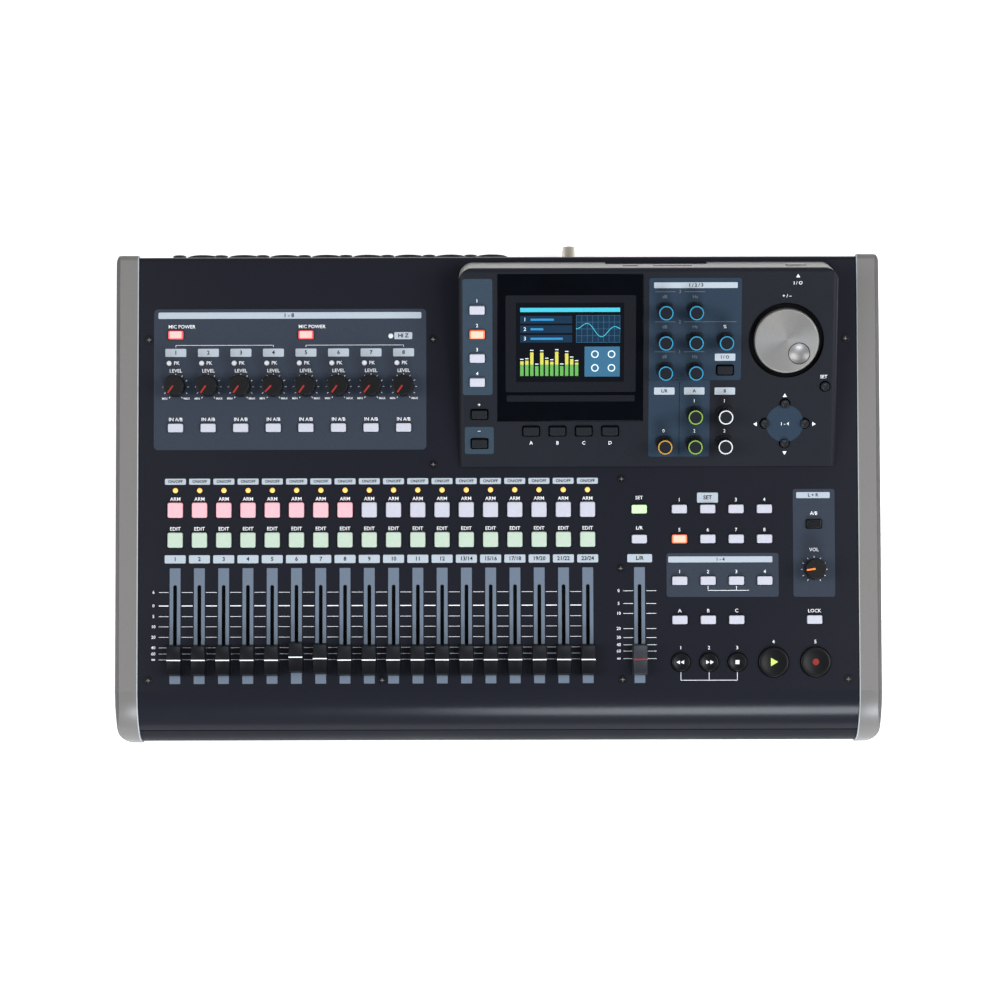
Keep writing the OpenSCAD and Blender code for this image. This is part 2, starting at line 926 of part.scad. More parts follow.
module rotary_bodies() {
    color([0.5, 0.5, 0.5]) {
        on_panel()
            for (p = concat([for (x = input_col) [x, trim_row]], [monitor_knob_at]))
                translate([p[0], p[1], -sheet])
                    rotary_body(pot_h);
        on_unit() {
            for (p = encoders_at)
                translate([p[0], p[1], -unit_wall])
                    rotary_body(-unit_board_z - unit_wall);
            translate([jog_at[0], jog_at[1], -jog_depth - unit_wall])
                rotary_body(-unit_board_z - jog_depth - unit_wall);
        }
    }
}

// Frame on the rear wall: x to the right seen from above, y up, z straight out of the wall.
module on_wall(p) {
    translate([p[0], wall_y, p[1]])
        rotate([-90, 0, 0])
            mirror([0, 1, 0])
                children();
}

// Sockets on the rear wall.
module rear_sockets() {
    color([0.07, 0.07, 0.08]) {
        for (p = xlr_at())
            on_wall(p)
                xlr_socket();
        for (p = jacks_at())
            on_wall(p)
                jack_socket();
        for (p = phono_at)
            on_wall(p)
                phono_socket();
        for (p = din_at)
            on_wall(p)
                din_socket();
        on_wall(power_at)
            power_socket();
    }
}

module xlr_socket() {
    difference() {
        union() {
            linear_extrude(2)
                rounded(xlr_flange, 3);
            cylinder(d = xlr_d, h = xlr_up);
            translate([0, 0, -20])
                cylinder(d = xlr_d, h = 20 + cut);
        }
        for (a = [-150, -90, -30])
            translate([4.5 * cos(a), 4.5 * sin(a), -12])
                cylinder(d = 3, h = far);
        translate([0, 0, 1.5])
            difference() {
                cylinder(d = xlr_d - 2.5, h = far);
                cylinder(d = xlr_d - 6, h = far);
            }
        for (s = [-1, 1])
            translate([s * 9.6, s * 12, -cut])
                cylinder(d = 3.2, h = far);
    }
}

module jack_socket() {
    difference() {
        union() {
            cylinder(d = jack_nut_d, h = jack_nut_h, $fn = 6);
            translate([0, 0, -sheet - cut])
                cylinder(d = jack_thread_d, h = sheet + jack_thread_h);
            translate([-5.6, -5.6, -jack_depth - sheet])
                cube([11.2, 11.2, jack_depth]);
        }
        translate([0, 0, -jack_depth])
            cylinder(d = jack_bore_d, h = far);
    }
}

module phono_socket() {
    reach = rear_over + sheet + gap;
    difference() {
        union() {
            cylinder(d = phono_d + 4, h = 3);
            translate([0, 0, -sheet - 6])
                cylinder(d = phono_d, h = reach + sheet + 6);
        }
        translate([0, 0, reach - 8])
            cylinder(d = 3.4, h = far);
    }
}

module din_socket() {
    difference() {
        union() {
            linear_extrude(2)
                rounded([21, 21], 2);
            translate([0, 0, -12])
                cylinder(d = din_d, h = 13);
        }
        for (a = [0 : 45 : 180])
            translate([5 * cos(a), 5 * sin(a), -6])
                cylinder(d = 1.6, h = far);
    }
}

module power_socket() {
    difference() {
        union() {
            cylinder(d = jack_nut_d + 3, h = 2);
            translate([0, 0, -12])
                cylinder(d = jack_nut_d, h = 13);
        }
        difference() {
            translate([0, 0, -9])
                cylinder(d = 6.3, h = far);
            cylinder(d = 2, h = far, center = true);
        }
    }
}

// Panel screws with cross recesses.
module screws() {
    color([0.1, 0.1, 0.1])
        on_panel()
            for (p = screws_at)
                translate([p[0], p[1], 0])
                    difference() {
                        union() {
                            cylinder(d = screw_head_d, h = screw_head_h);
                            translate([0, 0, -screw_l])
                                cylinder(d = screw_d, h = screw_l + cut);
                        }
                        for (a = [0, 90])
                            rotate(a)
                                translate([-1.3, -0.3, screw_head_h - 0.7])
                                    cube([2.6, 0.6, 1]);
                    }
}

// Rubber feet, each a tapered puck with a peg in the tray.
module feet() {
    color([0.06, 0.06, 0.06])
        for (p = feet_at)
            translate([p[0], p[1], 0]) {
                cylinder(d1 = foot_d - 2, d2 = foot_d, h = foot_h);
                translate([0, 0, foot_h - cut])
                    cylinder(d = screw_d, h = sheet + cut);
            }
}

// Key cap on its flange and stem; the outline is the child, the origin is on the panel's face.
module key(up, wall, drop) {
    translate([0, 0, -wall - gap - 0.8])
        linear_extrude(up + wall + gap + 0.8)
            children(0);
    translate([0, 0, -wall - gap - 0.8])
        linear_extrude(0.8)
            children(1);
    translate([0, 0, -drop + key_travel + gap])
        cylinder(d = 3, h = drop - wall - gap - key_travel - gap);
}

module bar_keys(places, size, up, wall, drop) {
    for (p = places)
        translate([p[0], p[1], 0])
            key(up, wall, drop) {
                rounded(size, 0.9);
                rounded(size + 2 * [1, 1], 0.9);
            }
}

module round_keys(places, d, up, wall, drop) {
    for (p = places)
        translate([p[0], p[1], 0])
            key(up, wall, drop) {
                circle(d = d);
                circle(d = d + 2);
            }
}

// Arm and select keys of the tracks.
module track_keys() {
    color([0.85, 0.85, 0.88])
        on_panel()
            bar_keys(track_keys_at, [key_sq, key_sq], key_up, sheet, panel_drop);
}

// Source, phantom, edit and monitor keys.
module panel_keys() {
    color([0.85, 0.85, 0.88])
        on_panel()
            bar_keys(panel_keys_at, [key_w, key_l], key_up, sheet, panel_drop);
}

// Keys of the display unit.
module display_keys() {
    color([0.3, 0.3, 0.32])
        on_unit() {
            bar_keys(side_keys_at, [key_w, key_l], key_up, unit_wall, unit_drop);
            bar_keys(black_keys_at, black_key, key_up, unit_wall, unit_drop);
            round_keys(round_keys_at, cursor_d, key_up, unit_wall, unit_drop);
        }
}

// Round transport keys.
module transport_keys() {
    color([0.1, 0.1, 0.11])
        on_panel() {
            round_keys(stop_keys, stop_d, key_up, sheet, panel_drop);
            round_keys(play_keys, play_d, key_up, sheet, panel_drop);
        }
}

// Standby key in the rear cover.
module standby_key() {
    color([0.6, 0.6, 0.58])
        on_cover(standby_x, standby_z)
            key(1, unit_wall, 2 * unit_wall) {
                rounded(standby_size, standby_size[1] / 2 - cut);
                rounded(standby_size + 2 * [1, 1], standby_size[1] / 2);
            }
}

// Fader cap with a dished top, and the lever under it.
module fader(x, rest) {
    on_panel()
        translate([x, cap_rest + rest, 0]) {
            translate([0, 0, cap_lift])
                intersection() {
                    across(cap_w)
                        cap_side();
                    rotate([90, 0, 0])
                        translate([0, 0, -cap_l])
                            linear_extrude(2 * cap_l)
                                polygon([
                                    [-cap_w / 2, 0], [cap_w / 2, 0],
                                    [cap_w / 2 - 0.8, cap_h], [-cap_w / 2 + 0.8, cap_h]]);
                }
            translate([-lever_t / 2, -lever_l / 2, -sheet - pot_groove + 1])
                cube([lever_t, lever_l, sheet + pot_groove + cap_lift]);
        }
}

module cap_side() {
    dish_r = 20;
    dish = 2.4;
    difference() {
        polygon([
            [-cap_l / 2, 0], [cap_l / 2, 0], [cap_l / 2 - 1.2, cap_h], [-cap_l / 2 + 1.2, cap_h]]);
        translate([0, cap_h + dish_r - dish])
            circle(dish_r, $fn = 96);
    }
}

module stereo_fader() {
    color([0.32, 0.33, 0.35])
        fader(stereo_col, 0);
}

// Turned knob on its shaft, fluted above the foot; the child is half its section.
module fluted_knob(d, foot, h, flutes, flute_d, reach) {
    difference() {
        rotate_extrude()
            children();
        for (i = [0 : flutes - 1])
            rotate(i * 360 / flutes)
                translate([d / 2 + flute_d / 4, 0, foot])
                    cylinder(d = flute_d, h = h, $fn = 16);
    }
    translate([0, 0, -reach])
        cylinder(d = shaft_d, h = reach + cut);
}

// Half section of a straight knob with a rounded top edge.
module knob_section(r, h, edge) {
    square([r - edge, h]);
    square([r, h - edge]);
    translate([r - edge, h - edge])
        circle(edge);
}

module trim_knob(p, turn) {
    on_panel()
        translate([p[0], p[1], cap_lift])
            rotate(-turn - pointer_low)
                difference() {
                    fluted_knob(trim_d, -cut, trim_h + 1, 18, 1.6, pot_h + cap_lift - gap)
                        knob_section(trim_d / 2, trim_h, 0.8);
                    translate([-pointer_w / 2, -trim_d / 2, trim_h - pointer_w / 2])
                        cube([pointer_w, trim_d / 2, pointer_w]);
                }
}

module monitor_knob() {
    color([0.08, 0.08, 0.09])
        trim_knob(monitor_knob_at, monitor_turn);
}

module encoder_knob(p) {
    h = encoder_h - cap_lift;
    on_unit()
        translate([p[0], p[1], cap_lift])
            difference() {
                fluted_knob(encoder_top_d, encoder_foot, h, 20, 1,
                        -unit_board_z + cap_lift - 2.5) {
                    union() {
                        knob_section(encoder_top_d / 2, h, 0.4);
                        knob_section(encoder_d / 2, encoder_foot, 0.5);
                    }
                }
                translate([0, 0, h - ring_depth])
                    cylinder(d = encoder_top_d - 2 * ring_w, h = 1);
            }
}

// Jog wheel: silver disc with a finger dimple, standing in its recess.
module jog_wheel() {
    color([0.66, 0.66, 0.65])
        on_unit()
            translate([jog_at[0], jog_at[1], -jog_depth + cap_lift]) {
                difference() {
                    rotate_extrude($fn = 96)
                        knob_section(jog_d / 2, jog_depth + jog_up - cap_lift, 1.2);
                    translate([dimple_at[0], dimple_at[1],
                            jog_depth + jog_up - cap_lift + dimple_r - dimple_depth])
                        sphere(dimple_r, $fn = 96);
                }
                translate([0, 0, unit_board_z + 2 * jog_depth])
                    cylinder(d = shaft_d, h = -unit_board_z - 2 * jog_depth + cut);
            }
}

base_tray();
top_panel();
left_cheek();
right_cheek();
display_housing();
display_rear_cover();
display_window();
lcd_module();
circuit_boards();
fader_tracks();
rotary_bodies();
rear_sockets();
screws();
feet();
track_keys();
panel_keys();
display_keys();
transport_keys();
standby_key();
stereo_fader();
monitor_knob();
jog_wheel();
for (i = [0 : tracks - 1])
    color([0.1, 0.1, 0.11]) fader(track_col[i], fader_rest[i]);
for (i = [0 : inputs - 1])
    color([0.08, 0.08, 0.09]) trim_knob([input_col[i], trim_row], trim_turn[i]);
for (i = [0 : len(encoder_names) - 1])
    color([0.1, 0.1, 0.11]) encoder_knob(encoders_at[i]);
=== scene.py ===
"""Looks of a desktop digital multitrack recorder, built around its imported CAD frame.

Lengths in the layout are millimetres on the control panel or on the display unit's face;
PANEL and UNIT carry them into the shared frame in metres.
"""

import json
import math

import bmesh
import bpy
from mathutils import Matrix, Vector
from mathutils.geometry import tessellate_polygon

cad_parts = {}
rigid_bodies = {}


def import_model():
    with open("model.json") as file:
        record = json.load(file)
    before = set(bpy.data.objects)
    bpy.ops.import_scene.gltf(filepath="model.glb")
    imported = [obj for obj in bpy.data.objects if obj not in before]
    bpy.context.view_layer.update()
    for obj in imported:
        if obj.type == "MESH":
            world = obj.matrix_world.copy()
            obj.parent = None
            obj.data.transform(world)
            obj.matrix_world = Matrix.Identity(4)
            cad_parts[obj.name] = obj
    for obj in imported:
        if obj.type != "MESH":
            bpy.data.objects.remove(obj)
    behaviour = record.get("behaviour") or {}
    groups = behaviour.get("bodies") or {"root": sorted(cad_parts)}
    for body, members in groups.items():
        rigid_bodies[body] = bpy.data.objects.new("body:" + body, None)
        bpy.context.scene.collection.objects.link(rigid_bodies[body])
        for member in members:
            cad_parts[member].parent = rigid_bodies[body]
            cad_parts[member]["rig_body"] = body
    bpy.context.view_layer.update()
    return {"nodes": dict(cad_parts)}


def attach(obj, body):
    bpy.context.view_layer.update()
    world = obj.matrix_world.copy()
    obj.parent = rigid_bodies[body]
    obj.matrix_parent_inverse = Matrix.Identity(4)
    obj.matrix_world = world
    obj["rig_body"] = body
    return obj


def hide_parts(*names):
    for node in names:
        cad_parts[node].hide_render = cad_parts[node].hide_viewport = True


MM = 0.001
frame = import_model()


def turn_x(degrees):
    return Matrix.Rotation(math.radians(degrees), 4, "X")


def linked(name, data):
    """A new object of the scene."""
    obj = bpy.data.objects.new(name, data)
    bpy.context.scene.collection.objects.link(obj)
    return obj


PANEL_X, PANEL_Z, PANEL_SLOPE = -0.65, 54.0, 3.0
UNIT_Y, UNIT_LIP, UNIT_TILT = 14.0, 3.0, 14.0
PANEL = Matrix.Scale(MM, 4) @ Matrix.Translation((PANEL_X, 0, PANEL_Z)) @ turn_x(PANEL_SLOPE)
UNIT = PANEL @ Matrix.Translation((0, UNIT_Y, UNIT_LIP)) @ turn_x(UNIT_TILT)

# layout
TRACKS = [-215 + 16.2 * i for i in range(18)]
INPUTS = [-215 + 21.8 * i for i in range(8)]
EDITS = [121.7 + 18.93 * i for i in range(4)]
RIGHT = 211.5
STEREO = 94.9
ARM_ROW, SELECT_ROW, LOCATE_ROW, TOOL_ROW = -14.4, -34.4, -62.3, -88.4
SOURCE_ROW, PHANTOM_ROW, TRIM_ROW = 40.7, 103.1, 68.3
LIGHT_ROW, INPUT_LIGHT_ROW = -1.2, 84.2
LIGHT_PLATE_ROW, NUMBER_ROW, INPUT_PLATE_ROW = 4.7, -47.2, 91.2
MONITOR_ROW, MONITOR_KEY_ROW = -54.9, -24.5
TRANSPORT_ROW = -116.6
STOPS = [122.2 + 18.8 * i for i in range(3)]
PLAYS = [184.0, 212.0]
SLOT_MID, SLOT_HALF = -92.1, 27.7
ENCODER_X, ENCODER_PITCH = 111.4, 20
ENCODER_ROWS = [104.9, 84.9, 64.9, 35.5, 15.5]
ENCODERS = {
    "high_gain_knob": (0, 0, "ring_cyan"),
    "high_freq_knob": (1, 0, "ring_cyan"),
    "mid_gain_knob": (0, 1, "ring_cyan"),
    "mid_freq_knob": (1, 1, "ring_cyan"),
    "mid_width_knob": (2, 1, "ring_cyan"),
    "low_gain_knob": (0, 2, "ring_cyan"),
    "low_freq_knob": (1, 2, "ring_cyan"),
    "pan_knob": (0, 4, "ring_amber"),
    "send_1_knob": (1, 3, "ring_green"),
    "send_2_knob": (1, 4, "ring_green"),
    "return_1_knob": (2, 3, "ring_white"),
    "return_2_knob": (2, 4, "ring_white"),
}
JOG = (191.8, 84.7)
CURSOR, CURSOR_R = (191.6, 28.9), 13.2
INPUT_LIGHTS = [(x - 4.5, INPUT_LIGHT_ROW) for x in INPUTS] + [(-71, 102.3)]
CORNERS = ((-1, -1), (1, -1), (1, 1), (-1, 1))


def encoder_at(name):
    column, row, _ = ENCODERS[name]
    return ENCODER_X + ENCODER_PITCH * column, ENCODER_ROWS[row]


# materials
GRAIN_DEPTH = 0.04 * MM


def preset(node, values):
    """Sets the values of a node's unlinked inputs."""
    for label, value in values.items():
        node.inputs[label].default_value = value


def linear(rgb):
    """A colour seen on a screen, 0 to 255, as linear light."""
    return tuple(((c / 255 + 0.055) / 1.055) ** 2.4 if c > 10 else c / 3294 for c in rgb)


def surface(
    name,
    rgb,
    rough=0.5,
    metal=0.0,
    specular=0.5,
    grain=900.0,
    vary=0.10,
    bump=0.12,
    glow=0.0,
    spun=0.0,
):
    """A finish whose colour and relief follow a fine noise, and its roughness a broad one.

    A spun finish draws its gloss out round the piece's upright axis.
    """
    colour = linear(rgb)
    mat = bpy.data.materials.new(name)
    mat.use_nodes = True
    nodes, links = mat.node_tree.nodes, mat.node_tree.links
    shader = nodes["Principled BSDF"]
    preset(shader, {"Metallic": metal, "Specular IOR Level": specular})
    place = nodes.new("ShaderNodeTexCoord")
    fine = nodes.new("ShaderNodeTexNoise")
    preset(fine, {"Scale": grain, "Detail": 4})
    broad = nodes.new("ShaderNodeTexNoise")
    preset(broad, {"Scale": 14, "Detail": 5})
    for noise in (fine, broad):
        links.new(place.outputs["Object"], noise.inputs["Vector"])
    tone = nodes.new("ShaderNodeValToRGB")
    tone.color_ramp.elements[0].position = 0.3
    tone.color_ramp.elements[1].position = 0.7
    tone.color_ramp.elements[0].color = (*[c * (1 - vary) for c in colour], 1)
    tone.color_ramp.elements[1].color = (*[min(1, c * (1 + vary)) for c in colour], 1)
    links.new(fine.outputs["Fac"], tone.inputs["Fac"])
    links.new(tone.outputs["Color"], shader.inputs["Base Color"])
    shine = nodes.new("ShaderNodeMapRange")
    preset(shine, {"From Min": 0.25, "From Max": 0.75})
    preset(shine, {"To Min": rough * 0.88, "To Max": min(1, rough * 1.12)})
    links.new(broad.outputs["Fac"], shine.inputs["Value"])
    links.new(shine.outputs["Result"], shader.inputs["Roughness"])
    relief = nodes.new("ShaderNodeBump")
    preset(relief, {"Strength": bump, "Distance": GRAIN_DEPTH})
    links.new(fine.outputs["Fac"], relief.inputs["Height"])
    links.new(relief.outputs["Normal"], shader.inputs["Normal"])
    if spun:
        preset(shader, {"Anisotropic": spun})
        round_axis = nodes.new("ShaderNodeTangent")
        round_axis.direction_type = "RADIAL"
        round_axis.axis = "Z"
        links.new(round_axis.outputs["Tangent"], shader.inputs["Tangent"])
    if glow:
        links.new(tone.outputs["Color"], shader.inputs["Emission Color"])
        preset(shader, {"Emission Strength": glow})
    return mat


MOULDED = {"grain": 500, "vary": 0.03}
RING = {"rough": 0.45, "specular": 0.2, "vary": 0.05}
INK = {"rough": 0.6, "grain": 1300}
LIT_PAGE = {"rough": 0.3, "specular": 0.1, "grain": 500, "vary": 0.02, "glow": 0.6}
PAINTS = {
    "panel": surface("panel_paint", (27, 28, 35), 0.2, specular=0.13, grain=1500),
    "tray": surface("tray_paint", (27, 29, 35), 0.5, specular=0.03, grain=1500),
    # painted highlight: a pale paint for the cheeks' inner rim faces, next to the panel
    "cheek_rim": surface("cheek_rim", (164, 172, 174), 0.4, specular=0.3, vary=0.03),
    # painted shade: a darker paint for the cheeks' outward-facing edge faces, where their sides
    # turn from the overhead light
    "cheek_edge": surface("cheek_edge", (53, 51, 49), 0.45, specular=0.25, vary=0.04),
    "cheek": surface("cheek_grey", (103, 101, 99), 0.38, vary=0.04, bump=0.08),
    "housing": surface("housing_plastic", (28, 30, 36), 0.36, specular=0.1, grain=1100),
    "silver": surface("silver_paint", (126, 124, 122), 0.42, metal=0.3),
    "window": surface(
        "window_gloss", (4, 6, 10), 0.22, specular=0.06, grain=60, bump=0.01, vary=0.2
    ),
    "bezel": surface("screen_bezel", (21, 23, 28), 0.5, specular=0.05),
    "board": surface("board_green", (24, 70, 48), 0.55, grain=400),
    # the pots' metal, painted much darker than bare metal: painted shade for what shows deep in the
    # fader slots
    "pot": surface("pot_metal", (38, 39, 41), 0.5, metal=0.5, grain=600),
    "socket": surface("socket_black", (17, 17, 19), 0.5),
    "phono": surface("phono_nickel", (190, 184, 170), 0.35, metal=0.7, vary=0.05),
    "screw": surface("screw_black", (6, 6, 7), 0.3, specular=0.25, grain=800),
    # painted highlight: a pale paint for the floors of the screws' cross recesses, standing in for
    # their glints
    "screw_cross": surface("screw_cross", (136, 136, 138), 0.35, metal=0.4, grain=800),
    "foot": surface("foot_rubber", (18, 18, 18), 0.85, grain=700, bump=0.4),
    "key_white": surface("key_white", (174, 175, 186), 0.5, specular=0.3, **MOULDED, glow=0.04),
    "key_pink": surface("key_pink", (223, 161, 169), 0.5, **MOULDED, glow=0.07),
    "key_green": surface("key_green", (168, 184, 168), 0.5, specular=0.3, **MOULDED, glow=0.05),
    "key_lime": surface("key_lime", (176, 226, 158), 0.45, **MOULDED, glow=0.25),
    "run_green": surface("run_green", (186, 204, 104), 0.5, specular=0.2, vary=0.04),
    "key_amber": surface("key_amber", (255, 120, 84), 0.5, specular=0.2, **MOULDED, glow=0.2),
    "key_red": surface("key_red", (232, 92, 90), 0.45, specular=0.2, **MOULDED, glow=0.2),
    "amber_heart": surface("amber_heart", (250, 174, 152), 0.5, specular=0.2, **MOULDED, glow=0.24),
    "red_heart": surface("red_heart", (255, 168, 164), 0.5, specular=0.2, **MOULDED, glow=0.24),
    "key_dark": surface("key_dark", (26, 28, 32), 0.4, specular=0.12),
    # painted shade: a near-black paint for the insides of holes and recesses
    "recess": surface("recess_black", (9, 9, 11), 0.6, specular=0.05),
    "key_black": surface("key_black", (15, 16, 18), 0.28, specular=0.16),
    "cap": surface("cap_black", (18, 19, 23), 0.45, specular=0.1, grain=1000),
    "stereo_cap": surface("stereo_cap_grey", (44, 46, 51), 0.45, specular=0.15, grain=1000),
    "knob": surface("knob_black", (12, 12, 14), 0.4, specular=0.18, grain=1000),
    "encoder": surface("encoder_black", (16, 19, 27), 0.4, specular=0.18, grain=1000),
    "jog": surface("jog_silver", (124, 123, 121), 0.44, metal=0.5, grain=1000, vary=0.06, spun=0.7),
    "jog_dimple": surface("jog_dimple", (127, 126, 125), 0.4, metal=0.6, grain=1000, vary=0.05),
    "line_white": surface("line_white", (232, 234, 236), 0.55, vary=0.03),
    "line_red": surface("line_red", (146, 36, 33), 0.5, specular=0.2, vary=0.05),
    "line_orange": surface("line_orange", (236, 120, 30), 0.5, vary=0.05, glow=0.1),
    "ring_cyan": surface("ring_cyan", (38, 128, 164), **RING),
    "ring_amber": surface("ring_amber", (178, 134, 44), **RING),
    "ring_green": surface("ring_green", (118, 154, 60), **RING),
    "ring_white": surface("ring_white", (200, 203, 204), **RING),
    "print_zone": surface("print_zone", (49, 55, 66), specular=0.06, **INK),
    "print_blue": surface("print_blue", (40, 53, 67), specular=0.05, **INK),
    "print_side": surface("print_side", (49, 62, 74), specular=0.05, **INK),
    "print_strip": surface("print_strip", (95, 106, 120), specular=0.08, vary=0.05, **INK),
    "print_plate": surface("print_plate", (162, 171, 180), specular=0.08, vary=0.04, **INK),
    "print_white": surface("print_white", (226, 228, 232), specular=0.08, vary=0.03, **INK),
    "print_dark": surface("print_dark", (22, 23, 28), specular=0.05, **INK),
    "take_red": surface("take_red", (122, 36, 31), 0.5, specular=0.2, vary=0.05),
    "light_amber": surface("light_amber", (250, 186, 96), 0.3, **MOULDED, glow=0.5),
    "light_clear": surface("light_clear", (212, 217, 222), 0.3, specular=0.3, grain=500, vary=0.05),
    "screen_night": surface("screen_night", (7, 9, 15), 0.3, specular=0.1, grain=500, glow=0.2),
    "screen_cyan": surface("screen_cyan", (56, 150, 166), **LIT_PAGE),
    "screen_sky": surface("screen_sky", (40, 108, 150), **LIT_PAGE),
    "screen_blue": surface("screen_blue", (16, 36, 54), **LIT_PAGE),
    "screen_steel": surface("screen_steel", (45, 82, 106), **LIT_PAGE),
    "screen_white": surface("screen_white", (182, 194, 200), **LIT_PAGE),
    "screen_yellow": surface("screen_yellow", (164, 160, 70), **LIT_PAGE),
    "screen_green": surface("screen_green", (78, 134, 66), **LIT_PAGE),
}


# pieces
def smooth(mesh, angle=32):
    for face in mesh.polygons:
        face.use_smooth = True
    mesh.set_sharp_from_angle(angle=math.radians(angle))


def keep_flat(mesh, ratio=5.0):
    """Flat faces much larger than their smooth neighbours keep their own normals for shading."""
    bm = bmesh.new()
    bm.from_mesh(mesh)
    bm.faces.ensure_lookup_table()
    areas = [face.calc_area() for face in bm.faces]
    normals = [corner.vector.copy() for corner in mesh.corner_normals]
    for face in bm.faces:
        beside = [
            areas[other.index]
            for edge in face.edges
            if edge.smooth
            for other in edge.link_faces
            if other.normal.dot(face.normal) < 0.9999
        ]
        if areas[face.index] > ratio * max(beside, default=0):
            for corner in face.loops:
                normals[corner.index] = face.normal.copy()
    bm.free()
    mesh.normals_split_custom_set(normals)


def settle(obj):
    """The object's evaluated shape becomes its plain mesh, and its modifiers go."""
    shape = bpy.data.meshes.new_from_object(
        obj.evaluated_get(bpy.context.evaluated_depsgraph_get())
    )
    obj.modifiers.clear()
    obj.data = shape


def placed(name, mesh, body):
    obj = linked(name, mesh)
    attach(obj, body)
    return obj


def body_of(node):
    return frame["nodes"][node]["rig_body"]


WELD, FLAT, SHARP = 0.002 * MM, math.radians(0.8), math.radians(30)


def refined(node, paint, edge=0.0, only=None):
    """A copy of a CAD node in its finish and the node's place.

    Its edges are softened by the width given, all sharp ones or only those that pass a test.
    """
    mesh = frame["nodes"][node].data.copy()
    mesh.materials.clear()
    mesh.materials.append(PAINTS[paint])
    obj = placed(node + "_skin", mesh, body_of(node))
    if edge:
        bm = bmesh.new()
        bm.from_mesh(mesh)
        bmesh.ops.remove_doubles(bm, verts=bm.verts, dist=WELD)
        bmesh.ops.dissolve_limit(bm, angle_limit=FLAT, verts=bm.verts, edges=bm.edges)
        if only:
            weight = bm.edges.layers.float.new("bevel_weight_edge")
            for line in bm.edges:
                line[weight] = float(only(line))
        bm.to_mesh(mesh)
        bm.free()
        mesh.attributes.remove(mesh.attributes["custom_normal"])
        bevel = obj.modifiers.new("Edges", "BEVEL")
        bevel.width = edge * MM
        bevel.segments = 2
        bevel.limit_method = "WEIGHT" if only else "ANGLE"
        bevel.angle_limit = SHARP
        bevel.use_clamp_overlap = False
        settle(obj)
        smooth(obj.data)
        keep_flat(obj.data)
    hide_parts(node)
    return obj


def tint(obj, paint, chosen):
    """Gives the faces that pass a test another finish."""
    obj.data.materials.append(PAINTS[paint])
    for face in obj.data.polygons:
        if chosen(face):
            face.material_index = len(obj.data.materials) - 1


def add_faces(obj, place, corners, faces, paint):
    """Adds faces in another finish to a piece's own mesh."""
    mesh = obj.data
    mesh.materials.append(PAINTS[paint])
    bm = bmesh.new()
    bm.from_mesh(mesh)
    made = [bm.verts.new(place @ Vector(c)) for c in corners]
    for f in faces:
        face = bm.faces.new([made[i] for i in f])
        face.material_index = len(mesh.materials) - 1
        face.smooth = False
    bm.to_mesh(mesh)
    bm.free()


def rounded(x, y, w, l, r=0.0, steps=4):
    """Outline of a rectangle with rounded corners, counter-clockwise."""
    r = min(r, w / 2, l / 2)
    if r <= 0:
        return [(x + sx * w / 2, y + sy * l / 2) for sx, sy in CORNERS]
    points = []
    for quarter, (sx, sy) in enumerate(((1, 1), (-1, 1), (-1, -1), (1, -1))):
        for k in range(steps + 1):
            a = math.radians(90 * quarter + 90 * k / steps)
            points.append(
                (x + sx * (w / 2 - r) + r * math.cos(a), y + sy * (l / 2 - r) + r * math.sin(a))
            )
    return points


def circle(x, y, r, steps=32):
    return [
        (x + r * math.cos(2 * math.pi * k / steps), y + r * math.sin(2 * math.pi * k / steps))
        for k in range(steps)
    ]


CAPITAL = 0.7  # height of the font's capitals, as a part of its size


